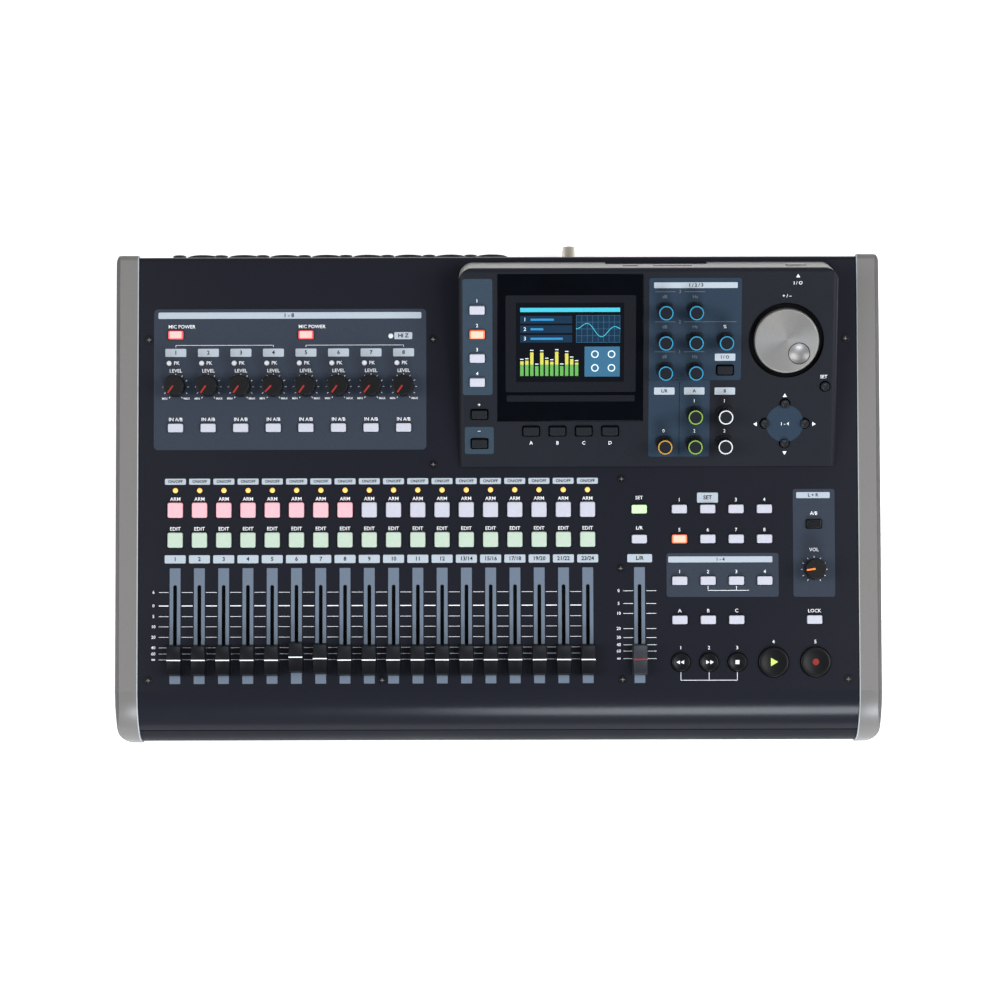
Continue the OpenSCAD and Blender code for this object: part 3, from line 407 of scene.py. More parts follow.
class Print:
    """Flat shapes printed on one face, gathered into one mesh a little above it."""

    def __init__(self, name, place, level, paint, body="chassis", slot=None, weight=0.012):
        self.name, self.place, self.level = name, place, level
        self.paint, self.body, self.slot, self.weight = paint, body, slot, weight
        self.corners, self.faces = [], []

    def area(self, outline, holes=()):
        loops = [[Vector((x, y, 0)) for x, y in loop] for loop in (outline, *holes)]
        flat = [p for loop in loops for p in loop]
        start = len(self.corners)
        self.corners += [(p.x, p.y, self.level) for p in flat]
        for a, b, c in tessellate_polygon(loops):
            up = (flat[b] - flat[a]).cross(flat[c] - flat[a]).z > 0
            self.faces.append([start + i for i in ((a, b, c) if up else (a, c, b))])

    def bar(self, x, y, w, l, r=0.0, holes=()):
        self.area(rounded(x, y, w, l, r), holes)

    def zone(self, x0, y0, x1, y1, r=0.0, holes=()):
        self.bar((x0 + x1) / 2, (y0 + y1) / 2, abs(x1 - x0), abs(y1 - y0), r, holes)

    def disc(self, x, y, r, inner=0.0):
        self.area(circle(x, y, r), [circle(x, y, inner)] if inner else ())

    def line(self, points, width):
        for (x0, y0), (x1, y1) in zip(points, points[1:]):
            along = Vector((x1 - x0, y1 - y0)).normalized() * width / 2
            side = Vector((-along.y, along.x))
            a, b = Vector((x0, y0)) - along, Vector((x1, y1)) + along
            self.area([tuple(a - side), tuple(b - side), tuple(b + side), tuple(a + side)])

    def arrow(self, x, y, size, degrees):
        """A solid triangle that points along the angle given."""
        self.area(
            [
                (
                    x + size * math.cos(math.radians(degrees + t)),
                    y + size * math.sin(math.radians(degrees + t)),
                )
                for t in (0, 120, 240)
            ]
        )

    def word(self, text, x, y, size=2.3):
        """Lettering centred on a place; size is the height of its capitals."""
        curve = bpy.data.curves.new("lettering", "FONT")
        curve.body = text
        curve.size = size / CAPITAL
        curve.align_x, curve.align_y = "CENTER", "CENTER"
        curve.resolution_u = 2
        curve.offset = self.weight * size
        holder = linked("lettering", curve)
        shape = bpy.data.meshes.new_from_object(
            holder.evaluated_get(bpy.context.evaluated_depsgraph_get())
        )
        start = len(self.corners)
        self.corners += [(x + v.co.x, y + v.co.y, self.level) for v in shape.vertices]
        self.faces += [[start + i for i in f.vertices] for f in shape.polygons]
        bpy.data.objects.remove(holder)
        bpy.data.curves.remove(curve)
        bpy.data.meshes.remove(shape)

    def words(self, rows, size=2.3):
        for text, x, y in rows:
            self.word(text, x, y, size)

    def piece(self):
        mesh = bpy.data.meshes.new(self.name)
        mesh.from_pydata([self.place @ Vector(c) for c in self.corners], [], self.faces)
        mesh.materials.append(PAINTS[self.paint])
        placed(self.name, mesh, self.body)


# Geometry Nodes
def tree(name, inputs):
    """An empty node tree with a geometry in and out and named sizes in millimetres."""
    group = bpy.data.node_groups.new(name, "GeometryNodeTree")
    group.interface.new_socket("Geometry", in_out="INPUT", socket_type="NodeSocketGeometry")
    for label, value in inputs.items():
        socket = group.interface.new_socket(label, in_out="INPUT", socket_type="NodeSocketFloat")
        socket.default_value = value
    group.interface.new_socket("Finish", in_out="INPUT", socket_type="NodeSocketMaterial")
    group.interface.new_socket("Geometry", in_out="OUTPUT", socket_type="NodeSocketGeometry")
    start = group.nodes.new("NodeGroupInput")
    end = group.nodes.new("NodeGroupOutput")
    return group, start, end


def maths(group, operation, a, b):
    node = group.nodes.new("ShaderNodeMath")
    node.operation = operation
    for socket, value in zip(node.inputs, (a, b)):
        if isinstance(value, (int, float)):
            socket.default_value = value
        else:
            group.links.new(value, socket)
    return node.outputs[0]


def close_tree(group, start, end, shape, rotation=None, scale=None):
    """Stands the shape on every point, realizes it and gives it its finish."""
    links = group.links
    stand = group.nodes.new("GeometryNodeInstanceOnPoints")
    links.new(start.outputs["Geometry"], stand.inputs["Points"])
    links.new(shape, stand.inputs["Instance"])
    if rotation:
        links.new(rotation, stand.inputs["Rotation"])
    if scale:
        links.new(scale, stand.inputs["Scale"])
    real = group.nodes.new("GeometryNodeRealizeInstances")
    links.new(stand.outputs["Instances"], real.inputs["Geometry"])
    finish = group.nodes.new("GeometryNodeSetMaterial")
    links.new(real.outputs["Geometry"], finish.inputs["Geometry"])
    links.new(start.outputs["Finish"], finish.inputs["Material"])
    links.new(finish.outputs["Geometry"], end.inputs["Geometry"])


# steps up a key's edge: rise and inset as parts of it; steps into its dish: fall and shrinking
EDGE_STEPS = ((0.62, 0.24), (0.28, 0.34), (0.10, 0.42))
DISH_STEPS = ((0.0, 0.9), (-0.4, 0.8), (-0.4, 0.72), (-0.2, 0.5))


def key_tree():
    """Key caps: a rounded outline with a straight skirt, a softened top edge and a dished top."""
    group, start, end = tree(
        "Key caps",
        {"Width": 10, "Length": 10, "Corner": 1, "Skirt": 2, "Up": 2, "Edge": 0.4, "Dish": 0},
    )
    links = group.links
    outline = group.nodes.new("GeometryNodeCurvePrimitiveQuadrilateral")
    links.new(start.outputs["Width"], outline.inputs["Width"])
    links.new(start.outputs["Length"], outline.inputs["Height"])
    fillet = group.nodes.new("GeometryNodeFilletCurve")
    fillet.mode = "POLY"
    preset(fillet, {"Count": 6})
    links.new(outline.outputs["Curve"], fillet.inputs["Curve"])
    links.new(start.outputs["Corner"], fillet.inputs["Radius"])
    fill = group.nodes.new("GeometryNodeFillCurve")
    fill.mode = "NGONS"
    links.new(fillet.outputs["Curve"], fill.inputs["Curve"])
    low = group.nodes.new("GeometryNodeTransform")
    links.new(fill.outputs["Mesh"], low.inputs["Geometry"])
    drop = group.nodes.new("ShaderNodeCombineXYZ")
    links.new(maths(group, "MULTIPLY", start.outputs["Skirt"], -1.0), drop.inputs["Z"])
    links.new(drop.outputs["Vector"], low.inputs["Translation"])
    tall = maths(group, "ADD", start.outputs["Skirt"], start.outputs["Up"])
    height = maths(group, "SUBTRACT", tall, start.outputs["Edge"])
    half = maths(group, "MULTIPLY", start.outputs["Width"], 0.5)
    shape, top = low.outputs["Geometry"], None
    for rise, inset in ((None, None), *EDGE_STEPS):
        raised = group.nodes.new("GeometryNodeExtrudeMesh")
        preset(raised, {"Individual": False})
        links.new(shape, raised.inputs["Mesh"])
        if top:
            links.new(top, raised.inputs["Selection"])
        if rise is not None:
            height = maths(group, "MULTIPLY", start.outputs["Edge"], rise)
        links.new(height, raised.inputs["Offset Scale"])
        shape, top = raised.outputs["Mesh"], raised.outputs["Top"]
        if inset is not None:
            small = group.nodes.new("GeometryNodeScaleElements")
            links.new(shape, small.inputs["Geometry"])
            links.new(top, small.inputs["Selection"])
            part = maths(group, "MULTIPLY", start.outputs["Edge"], inset)
            part = maths(group, "DIVIDE", part, half)
            links.new(maths(group, "SUBTRACT", 1.0, part), small.inputs["Scale"])
            shape = small.outputs["Geometry"]
    for fall, shrink in DISH_STEPS:
        sunk = group.nodes.new("GeometryNodeExtrudeMesh")
        preset(sunk, {"Individual": False})
        links.new(shape, sunk.inputs["Mesh"])
        links.new(top, sunk.inputs["Selection"])
        depth = maths(group, "MULTIPLY", start.outputs["Dish"], fall)
        links.new(depth, sunk.inputs["Offset Scale"])
        small = group.nodes.new("GeometryNodeScaleElements")
        preset(small, {"Scale": shrink})
        links.new(sunk.outputs["Mesh"], small.inputs["Geometry"])
        links.new(sunk.outputs["Top"], small.inputs["Selection"])
        shape, top = small.outputs["Geometry"], sunk.outputs["Top"]
    close_tree(group, start, end, shape)
    return group


def mark_tree():
    """Printed ticks: flat bars, each turned and stretched by its point's own attributes."""
    group, start, end = tree("Tick marks", {"Length": 1, "Thickness": 1})
    links = group.links
    bar = group.nodes.new("GeometryNodeMeshGrid")
    links.new(start.outputs["Length"], bar.inputs["Size X"])
    links.new(start.outputs["Thickness"], bar.inputs["Size Y"])
    preset(bar, {"Vertices X": 2, "Vertices Y": 2})
    turn = group.nodes.new("GeometryNodeInputNamedAttribute")
    preset(turn, {"Name": "turn"})
    angle = group.nodes.new("ShaderNodeCombineXYZ")
    links.new(turn.outputs["Attribute"], angle.inputs["Z"])
    span = group.nodes.new("GeometryNodeInputNamedAttribute")
    span.data_type = "FLOAT_VECTOR"
    preset(span, {"Name": "span"})
    close_tree(
        group, start, end, bar.outputs["Mesh"], angle.outputs["Vector"], span.outputs["Attribute"]
    )
    return group


def lens_tree():
    """Indicator lenses: low domes standing in their holes."""
    group, start, end = tree("Lenses", {"Diameter": 3.4, "Rise": 0.9})
    links = group.links
    ball = group.nodes.new("GeometryNodeMeshUVSphere")
    preset(ball, {"Segments": 20, "Rings": 10, "Radius": 0.5})
    size = group.nodes.new("ShaderNodeCombineXYZ")
    links.new(start.outputs["Diameter"], size.inputs["X"])
    links.new(start.outputs["Diameter"], size.inputs["Y"])
    links.new(maths(group, "MULTIPLY", start.outputs["Rise"], 2.0), size.inputs["Z"])
    flat = group.nodes.new("GeometryNodeTransform")
    links.new(ball.outputs["Mesh"], flat.inputs["Geometry"])
    links.new(size.outputs["Vector"], flat.inputs["Scale"])
    close_tree(group, start, end, flat.outputs["Geometry"])
    return group


KEYS, MARKS, LENSES = key_tree(), mark_tree(), lens_tree()


def grown(name, group, place, points, sizes, paint, body, spans=None, turns=None):
    """Runs a tree on points in a face's frame and carries the result into the shared frame."""
    mesh = bpy.data.meshes.new(name)
    mesh.from_pydata(points, [], [])
    if spans:
        mesh.attributes.new("span", "FLOAT_VECTOR", "POINT").data.foreach_set(
            "vector", [c for s in spans for c in s]
        )
        mesh.attributes.new("turn", "FLOAT", "POINT").data.foreach_set("value", turns)
    obj = linked(name, mesh)
    mod = obj.modifiers.new(group.name, "NODES")
    mod.node_group = group
    for item in group.interface.items_tree:
        if item.item_type == "SOCKET" and item.in_out == "INPUT":
            if item.name in sizes:
                mod[item.identifier] = float(sizes[item.name])
            elif item.name == "Finish":
                mod[item.identifier] = PAINTS[paint]
    settle(obj)
    for extra in [a.name for a in obj.data.attributes if a.name in ("span", "turn")]:
        obj.data.attributes.remove(obj.data.attributes[extra])
    obj.data.transform(place)
    smooth(obj.data, 40)
    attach(obj, body)
    return obj


# the CAD pieces in their finishes
for node, slot, paint, edge in (
    ("base_tray", "tray", "tray", 0.0),
    ("top_panel", "panel", "panel", 0.0),
    ("display_window", "window", "window", 0.25),
    ("lcd_module", "screen", "screen_night", 0.0),
    ("circuit_boards", "board", "board", 0.0),
    ("fader_tracks", "pot", "pot", 0.0),
    ("rotary_bodies", "pot", "pot", 0.0),
    ("feet", "foot", "foot", 0.3),
    ("standby_key", "silver", "silver", 0.2),
):
    refined(node, paint, edge)

panel_plane, face_plane = PANEL.inverted(), UNIT.inverted()
# the floor of each screw's cross recess gets a pale paint: a painted highlight
tint(
    refined("screws", "screw", 0.1),
    "screw_cross",
    lambda face: face.normal.z > 0.8 and 0.1 < (panel_plane @ face.center).z < 0.8,
)

# card slot, port and standby hole: middle and size across and up the rear cover
COVER_HOLES = ((117.0, -15, 26.0, 3.2), (88.8, -15, 10.0, 3.8), (198.9, -17, 13.6, 6.6))


def in_cover_hole(face):
    x, _, z = face_plane @ face.center
    return any(
        abs(x - cx) < w / 2 + 0.1 and abs(z - cz) < h / 2 + 0.1 for cx, cz, w, h in COVER_HOLES
    )


# faces inside the rear cover's card slot, port and standby hole get the near-black paint: painted
# shade
tint(refined("display_rear_cover", "silver"), "recess", in_cover_hole)

RECESS_R = 25.0


def in_recess(face):
    x, y, z = face_plane @ face.center
    return z < -0.4 and math.hypot(x - JOG[0], y - JOG[1]) < RECESS_R + 0.2


# the floor of the jog wheel's recess gets the near-black paint: painted shade
tint(refined("display_housing", "housing"), "recess", in_recess)

DIMPLE, DIMPLE_R, JOG_TOP = (JOG[0] + 8.3, JOG[1] - 8.3), 7.0, 4.0
hollow = UNIT @ Vector((*DIMPLE, JOG_TOP))
tint(
    refined("jog_wheel", "jog"),
    "jog_dimple",
    lambda face: (face.center - hollow).length < DIMPLE_R * MM and face.normal.z > 0.5
    and (face_plane @ face.center).z < JOG_TOP - 0.01,
)
# a thin near-black ring printed round the dimple's rim: painted shade at the edge of the hollow
ring = Print("jog_ring", UNIT, JOG_TOP + 0.03, "knob", body_of("jog_wheel"))
ring.disc(*DIMPLE, DIMPLE_R + 0.3, DIMPLE_R - 0.2)
ring.piece()

CHEEK_IN, CHEEK_W = 240.5, 15.5
CORNER_Y, CORNER_ARC, CORNER_CUT = -143.0, 45.4, 7.5
SIDE_EASE, ROUND_FROM, ROUND_R = 0.0031, 18.0, 7.0


def on_rim(line):
    """Edges of a cheek's inner side, next to the panel."""
    return line.calc_face_angle(0) > SHARP and all(
        abs(abs(v.co.x) / MM - CHEEK_IN) < 0.05 for v in line.verts
    )


def tighter(obj):
    """Fills out the front corner of a cheek: its side runs on and ends in a tighter round."""
    for v in obj.data.vertices:
        d = min(CORNER_Y - v.co.y / MM, ROUND_FROM + ROUND_R)
        if d > 0:
            arc = CORNER_ARC - math.sqrt(CORNER_ARC**2 - d**2)
            turn = ROUND_R - math.sqrt(ROUND_R**2 - max(0, d - ROUND_FROM) ** 2)
            cut = min(arc, CORNER_CUT, SIDE_EASE * d**2 + turn)
            reach = (abs(v.co.x) / MM - CHEEK_IN) * (CHEEK_W - cut) / (CHEEK_W - arc)
            v.co.x = math.copysign((CHEEK_IN + reach) * MM, v.co.x)
    obj.data.attributes.remove(obj.data.attributes["custom_normal"])
    smooth(obj.data)
    keep_flat(obj.data)


for node, outwards in (("left_cheek", -1), ("right_cheek", 1)):
    cheek = refined(node, "cheek", 0.6, on_rim)
    # the cheek's outward-facing faces get a darker paint: painted shade on its sloping outer edge
    tint(cheek, "cheek_edge", lambda face: face.normal.x * outwards > 0.3)
    # the cheek's inner rim faces get a pale paint: a painted highlight along the edge by the panel
    tint(cheek, "cheek_rim", lambda face: face.normal.x * outwards < -0.2 and face.normal.z > 0.2)
    tighter(cheek)

WALL_Y, PHONO_X, PHONO_R = 153.8, 48.55, 6.4
tint(
    refined("rear_sockets", "socket", 0.2),
    "phono",
    lambda face: face.center.y > WALL_Y * MM and abs(face.center.x - PHONO_X * MM) < PHONO_R * MM,
)

CAP_TOP, CAP_HALF, CAP_DISH = 0.9 + 11.0, 5.0, 2.4
CAP_LINE_X, CAP_LINE_Y, CAP_LINE_Z = CAP_HALF - 0.35, 0.36, CAP_TOP - CAP_DISH + 0.06
FADER_REST, FADER_RAISED = -114.6, {6: 2.0, 7: 1.0}
for number in range(1, 20):
    track = number < 19
    node = f"fader_{number}" if track else "stereo_fader"
    x = TRACKS[number - 1] if track else STEREO
    y = FADER_REST + FADER_RAISED.get(number, 0.0)
    finish = "cap" if track else "stereo_cap"
    add_faces(
        refined(node, finish, 0.35),
        PANEL,
        [(x + sx * CAP_LINE_X, y + sy * CAP_LINE_Y, CAP_LINE_Z) for sx, sy in CORNERS],
        [(0, 1, 2, 3)],
        "line_white" if track else "line_red",
    )

TRIM_TOP = 0.9 + 14.0
TRIM_TURNS, TRIM_ZERO, MONITOR_TURN = [0, 0, 0, 8, 0, 0, 3, 0], -35, 47
POINTER_FROM, POINTER_TO, POINTER_HALF = 0.6, 6.5, 0.55
POINTERS = {
    f"trim_knob_{'abcdefgh'[i]}": (INPUTS[i], TRIM_ROW, TRIM_ZERO - TRIM_TURNS[i], "line_red")
    for i in range(8)
}
POINTERS["monitor_knob"] = (RIGHT, MONITOR_ROW, TRIM_ZERO - MONITOR_TURN, "line_orange")
for node, (x, y, angle, paint) in POINTERS.items():
    knob = refined(node, "knob", 0.12)
    out = Vector((math.sin(math.radians(angle)), -math.cos(math.radians(angle)), 0))
    side = Vector((-out.y, out.x, 0)) * POINTER_HALF
    at = Vector((x, y, TRIM_TOP + 0.05))
    near, far = at + out * POINTER_FROM, at + out * POINTER_TO
    add_faces(
        knob,
        PANEL,
        [near - side, near + side, far + side, far - side],
        [(3, 2, 1, 0)],
        paint,
    )

ENCODER_TOP = 15.3
RING_OUT, RING_IN, RING_STEPS = 4.72, 4.0, 48
for node, (_, _, ring) in ENCODERS.items():
    knob = refined(node, "encoder", 0.1)
    x, y = encoder_at(node)
    outer, inner = circle(x, y, RING_OUT, RING_STEPS), circle(x, y, RING_IN, RING_STEPS)
    pairs = [(k, (k + 1) % RING_STEPS) for k in range(RING_STEPS)]
    add_faces(
        knob,
        UNIT,
        [(*p, ENCODER_TOP + 0.04) for p in outer + inner],
        [(k, n, RING_STEPS + n, RING_STEPS + k) for k, n in pairs],
        ring,
    )

# keys
SQUARE = {"Width": 10.1, "Length": 10.1, "Corner": 1.1, "Skirt": 2.2, "Up": 2, "Edge": 0.7}
BAR = {"Width": 10.1, "Length": 5.7, "Corner": 0.9, "Skirt": 2.2, "Up": 2, "Edge": 0.6}
DARK_BAR = {"Width": 10.4, "Length": 5.6, "Corner": 0.9, "Skirt": 3.2, "Up": 2, "Edge": 0.6}


def keys(name, place, points, sizes, paint, body, stands_for=None):
    made = grown(name, KEYS, place, [(*p, 0) for p in points], sizes, paint, body)
    if stands_for:
        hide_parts(stands_for)
    return made


HEART = 0.37  # half the lit middle, as a part of a key's width and length


def lit(keys_made, place, points, sizes, paint):
    """The middle of each key's top, lit from within, has a paler finish than its rim."""
    back = place.inverted()

    def inside(face):
        x, y, _ = back @ face.center
        return any(
            abs(x - kx) < HEART * sizes["Width"] and abs(y - ky) < HEART * sizes["Length"]
            for kx, ky in points
        )

    tint(keys_made, paint, inside)


def round_sizes(d, skirt=2.2, edge=0.6, dish=0.5):
    return {
        "Width": d, "Length": d, "Corner": d / 2 - 0.01,
        "Skirt": skirt, "Up": 2, "Edge": edge, "Dish": dish,
    }


keys("arm_keys_lit", PANEL, [(x, ARM_ROW) for x in TRACKS[:8]], SQUARE, "key_pink",
     "track_keys", "track_keys")
keys("arm_keys_plain", PANEL, [(x, ARM_ROW) for x in TRACKS[8:]], SQUARE, "key_white",
     "track_keys")
keys("select_keys", PANEL, [(x, SELECT_ROW) for x in TRACKS], SQUARE, "key_green",
     "track_keys")
plain_bars = (
    [(x, SOURCE_ROW) for x in INPUTS]
    + [(x, y) for x in EDITS for y in (ARM_ROW, LOCATE_ROW)]
    + [(x, SELECT_ROW) for x in EDITS[1:]]
    + [(x, TOOL_ROW) for x in EDITS[:3]]
    + [(STEREO, SELECT_ROW), (RIGHT, TOOL_ROW)]
)
keys("bar_keys_plain", PANEL, plain_bars, BAR, "key_white", "panel_keys", "panel_keys")
PHANTOM_KEYS = [(INPUTS[0], PHANTOM_ROW), (INPUTS[4], PHANTOM_ROW)]
made = keys("bar_keys_red", PANEL, PHANTOM_KEYS, BAR, "key_red", "panel_keys")
lit(made, PANEL, PHANTOM_KEYS, BAR, "red_heart")
keys("bar_key_lime", PANEL, [(STEREO, ARM_ROW)], BAR, "key_lime", "panel_keys")
AMBER_KEY = [(EDITS[0], SELECT_ROW)]
made = keys("bar_key_amber", PANEL, AMBER_KEY, BAR, "key_amber", "panel_keys")
lit(made, PANEL, AMBER_KEY, BAR, "amber_heart")
keys("bar_key_dark", PANEL, [(RIGHT, MONITOR_KEY_ROW)], BAR, "key_black", "panel_keys")
SIDE_KEYS = [(-12.9, y) for y in (105.3, 89.1, 73.2, 57.1)]
SIDE_BAR = dict(BAR, Skirt=3.2)
keys("side_keys_plain", UNIT, [SIDE_KEYS[0], *SIDE_KEYS[2:]], SIDE_BAR, "key_white",
     "display_keys", "display_keys")
made = keys("side_key_amber", UNIT, SIDE_KEYS[1:2], SIDE_BAR, "key_amber", "display_keys")
lit(made, UNIT, SIDE_KEYS[1:2], SIDE_BAR, "amber_heart")
FUNCTION_KEYS = [(22.8 + 17.53 * i, 24.1) for i in range(4)]
keys("dark_keys", UNIT, [(-11.6, 35.4), (-11.6, 15.8), (151.4, ENCODER_ROWS[2]), *FUNCTION_KEYS],
     DARK_BAR, "key_dark", "display_keys")
CURSOR_KEYS = [
    (CURSOR[0] + CURSOR_R * math.cos(a), CURSOR[1] + CURSOR_R * math.sin(a))
    for a in (0, math.pi / 2, math.pi, 3 * math.pi / 2)
]
keys("cursor_keys", UNIT, [*CURSOR_KEYS, (218, 53.8)], round_sizes(5.8, 3.2, 0.5), "key_dark",
     "display_keys")
keys("stop_keys", PANEL, [(x, TRANSPORT_ROW) for x in STOPS], round_sizes(12.4), "key_black",
     "transport_keys", "transport_keys")
keys("play_keys", PANEL, [(x, TRANSPORT_ROW) for x in PLAYS], round_sizes(20), "key_black",
     "transport_keys")

# symbols on the transport keys
KEY_TOP = 1.6
symbols = Print("transport_symbols", PANEL, KEY_TOP, "print_white", "transport_keys")
for x in (STOPS[0] - 1.5, STOPS[0] + 1.3):
    symbols.arrow(x, TRANSPORT_ROW, 1.5, 180)
for x in (STOPS[1] - 1.3, STOPS[1] + 1.5):
    symbols.arrow(x, TRANSPORT_ROW, 1.5, 0)
symbols.bar(STOPS[2], TRANSPORT_ROW, 2.6, 2.6)
symbols.piece()
run = Print("run_symbol", PANEL, KEY_TOP, "run_green", "transport_keys")
run.arrow(PLAYS[0] - 0.3, TRANSPORT_ROW, 3.2, 0)
run.piece()
take = Print("take_symbol", PANEL, KEY_TOP, "take_red", "transport_keys")
take.disc(PLAYS[1], TRANSPORT_ROW, 2.2)
take.piece()

# indicator lights
LIGHT, LIGHT_Z = {"Diameter": 3.5, "Rise": 1.1}, -0.1
grown("track_lights", LENSES, PANEL, [(x, LIGHT_ROW, LIGHT_Z) for x in TRACKS],
      LIGHT, "light_amber", "chassis")
grown("input_lights", LENSES, PANEL, [(*p, LIGHT_Z) for p in INPUT_LIGHTS],
      LIGHT, "light_clear", "chassis")

# printing on the control panel
LOW, HIGH = 0.03, 0.07
OVER_PLATES = HIGH + 0.04
BOLD = 0.035
DARK_GAP = (11.2, 6.6)


def key_gap(x, y, w=10.1, l=5.7):
    return rounded(x, y, w + 0.9, l + 0.9, 1.2)


def shaft_gap(x, y):
    return circle(x, y, 3.7, 24)


def light_gap(x, y):
    return circle(x, y, 2, 16)


zone = Print("panel_zones", PANEL, LOW, "print_zone", slot="panel")
input_holes = (
    [key_gap(x, SOURCE_ROW) for x in INPUTS]
    + [key_gap(*p) for p in PHANTOM_KEYS]
    + [light_gap(*p) for p in INPUT_LIGHTS[:8]]
    + [shaft_gap(x, TRIM_ROW) for x in INPUTS]
    + [light_gap(*INPUT_LIGHTS[8])]
)
zone.zone(-229.6, 25.9, -47.2, 120.5, 2.7, input_holes)
zone.zone(113.0, -73.1, 187.8, -43.9, 1.6, [key_gap(x, LOCATE_ROW) for x in EDITS])
zone.zone(197.6, -73.2, 225.5, -1.2, 1.6,
          [key_gap(RIGHT, MONITOR_KEY_ROW), shaft_gap(RIGHT, MONITOR_ROW)])
zone.piece()

strip = Print("fader_strips", PANEL, LOW, "print_strip", slot="panel")
STRIP_HALF, STRIP_FRONT, STRIP_BACK = 3.6, -130.3, -53.2
SLOT_W, SLOT_R = 2.5, 1.2
for x in [*TRACKS, STEREO]:
    slot_hole = rounded(x, SLOT_MID, SLOT_W, 2 * SLOT_HALF, SLOT_R)
    strip.zone(x - STRIP_HALF, STRIP_FRONT, x + STRIP_HALF, STRIP_BACK, 0.3, [slot_hole])
strip.piece()

plate = Print("label_plates", PANEL, HIGH, "print_plate", slot="panel")
plate.bar(-138.6, 116.2, 176.2, 4.3, 0.8)
plate.bar(-62.6, 102.4, 12, 4.7, 0.7)
for x in INPUTS:
    plate.bar(x, INPUT_PLATE_ROW, 14, 5.4, 0.7)
for x in TRACKS:
    plate.bar(x, LIGHT_PLATE_ROW, 14, 4, 0.7)
    plate.bar(x, NUMBER_ROW, 14, 5.4, 0.7)
plate.bar(STEREO + 0.2, NUMBER_ROW, 16.5, 5.4, 0.7)
plate.bar(EDITS[1], -6.8, 14, 6.7, 0.7)
plate.bar(148.9, -48.1, 69.5, 4, 0.6)
plate.bar(RIGHT - 0.4, -5.3, 22.4, 4, 0.6)
plate.piece()

ink = Print("plate_lettering", PANEL, OVER_PLATES, "print_dark", slot="panel", weight=BOLD)
NUMBERS = [str(n) for n in range(1, 13)] + [f"{n}/{n + 1}" for n in range(13, 24, 2)]
ink.words([(n, x, NUMBER_ROW) for n, x in zip(NUMBERS, TRACKS)], 2.6)
ink.words([(n, x, INPUT_PLATE_ROW) for n, x in zip("12345678", INPUTS)], 2.6)
ink.words([("ON/OFF", x, LIGHT_PLATE_ROW) for x in TRACKS], 1.9)
ink.words([("L/R", STEREO + 0.2, NUMBER_ROW), ("1 - 8", -139.3, 116.2), ("HI Z", -62.6, 102.4),
           ("SET", EDITS[1], -6.8)], 2.6)
ink.words([("1 - 4", 148.9, -48.1), ("L + R", RIGHT - 0.4, -5.3)], 2.2)
ink.piece()

label = Print("panel_lettering", PANEL, OVER_PLATES, "print_white", slot="panel")
label.words([("ARM", x, -7.1) for x in TRACKS], 2.4)
label.words([("EDIT", x, -27) for x in TRACKS], 2.4)
label.words([("SET", STEREO, -6.8), ("L/R", STEREO, -27)])
label.words([(str(k + 1), x, -8.3) for k, x in enumerate(EDITS) if k != 1])
label.words([(str(k + 5), x, -28.4) for k, x in enumerate(EDITS)])
label.words([(str(k + 1), x, -56.4) for k, x in enumerate(EDITS)])
label.words([("ABC"[k], x, -82.4) for k, x in enumerate(EDITS[:3])])
label.words([("LOCK", RIGHT, -82.6), ("A/B", RIGHT, -17.5), ("VOL", RIGHT, -41.8)])
label.words([("LEVEL", x, 79) for x in INPUTS], 2.3)
label.words([("MIC POWER", x + 4, 108.6) for x in (INPUTS[0], INPUTS[4])])
label.words([("MIN", x - 7.4, 60.4) for x in INPUTS], 1.4)
label.words([("MAX", x + 7.4, 60.4) for x in INPUTS], 1.4)
label.words([("PK", x + 0.6, INPUT_LIGHT_ROW) for x in INPUTS])
label.words([("IN A/B", x, 46.3) for x in INPUTS])
LEVELS = [("6", -69.3), ("0", -78.3), ("5", -85.4), ("10", -92.2), ("20", -99.2), ("40", -106.2),
          ("60", -110.3), ("∞", -114.2)]
label.words([(n, -229.4, y) for n, y in LEVELS], 2.0)
STEREO_LEVELS = [("0", -68.9), ("5", -77.4), ("10", -84.0), ("20", -94.1), ("30", -100.1),
                 ("40", -104.9), ("60", -109.1), ("∞", -114.1)]
label.words([(n, STEREO - 14.0, y) for n, y in STEREO_LEVELS], 2.0)
label.words([(str(k + 1), x, -107.1) for k, x in enumerate(STOPS)])
label.words([(str(k + 4), x, -103.2) for k, x in enumerate(PLAYS)])
FINE, THIN = 0.25, 0.35
for x0, x1 in ((INPUTS[0], INPUTS[3]), (INPUTS[4], INPUTS[7])):
    label.line([(x0, 95), (x0, 96.2), (x1, 96.2), (x1, 95)], FINE)
STOPS_NEAR, STOPS_FAR = -123.5, -128.6
label.line([(STOPS[0], STOPS_NEAR), (STOPS[0], STOPS_FAR), (STOPS[2], STOPS_FAR),
            (STOPS[2], STOPS_NEAR)], THIN)
label.line([(STOPS[1], STOPS_NEAR), (STOPS[1], STOPS_FAR)], THIN)
label.line([(EDITS[1], -66), (EDITS[1], -68.8), (EDITS[2] + 8, -68.8)], THIN)
label.line([(EDITS[2], -66), (EDITS[2], -68.8)], THIN)
label.piece()

points, spans, turns = [], [], []


def tick(x, y, length, thick, turn=0.0):
    points.append((x, y, HIGH))
    spans.append((length, thick, 1))
    turns.append(turn)


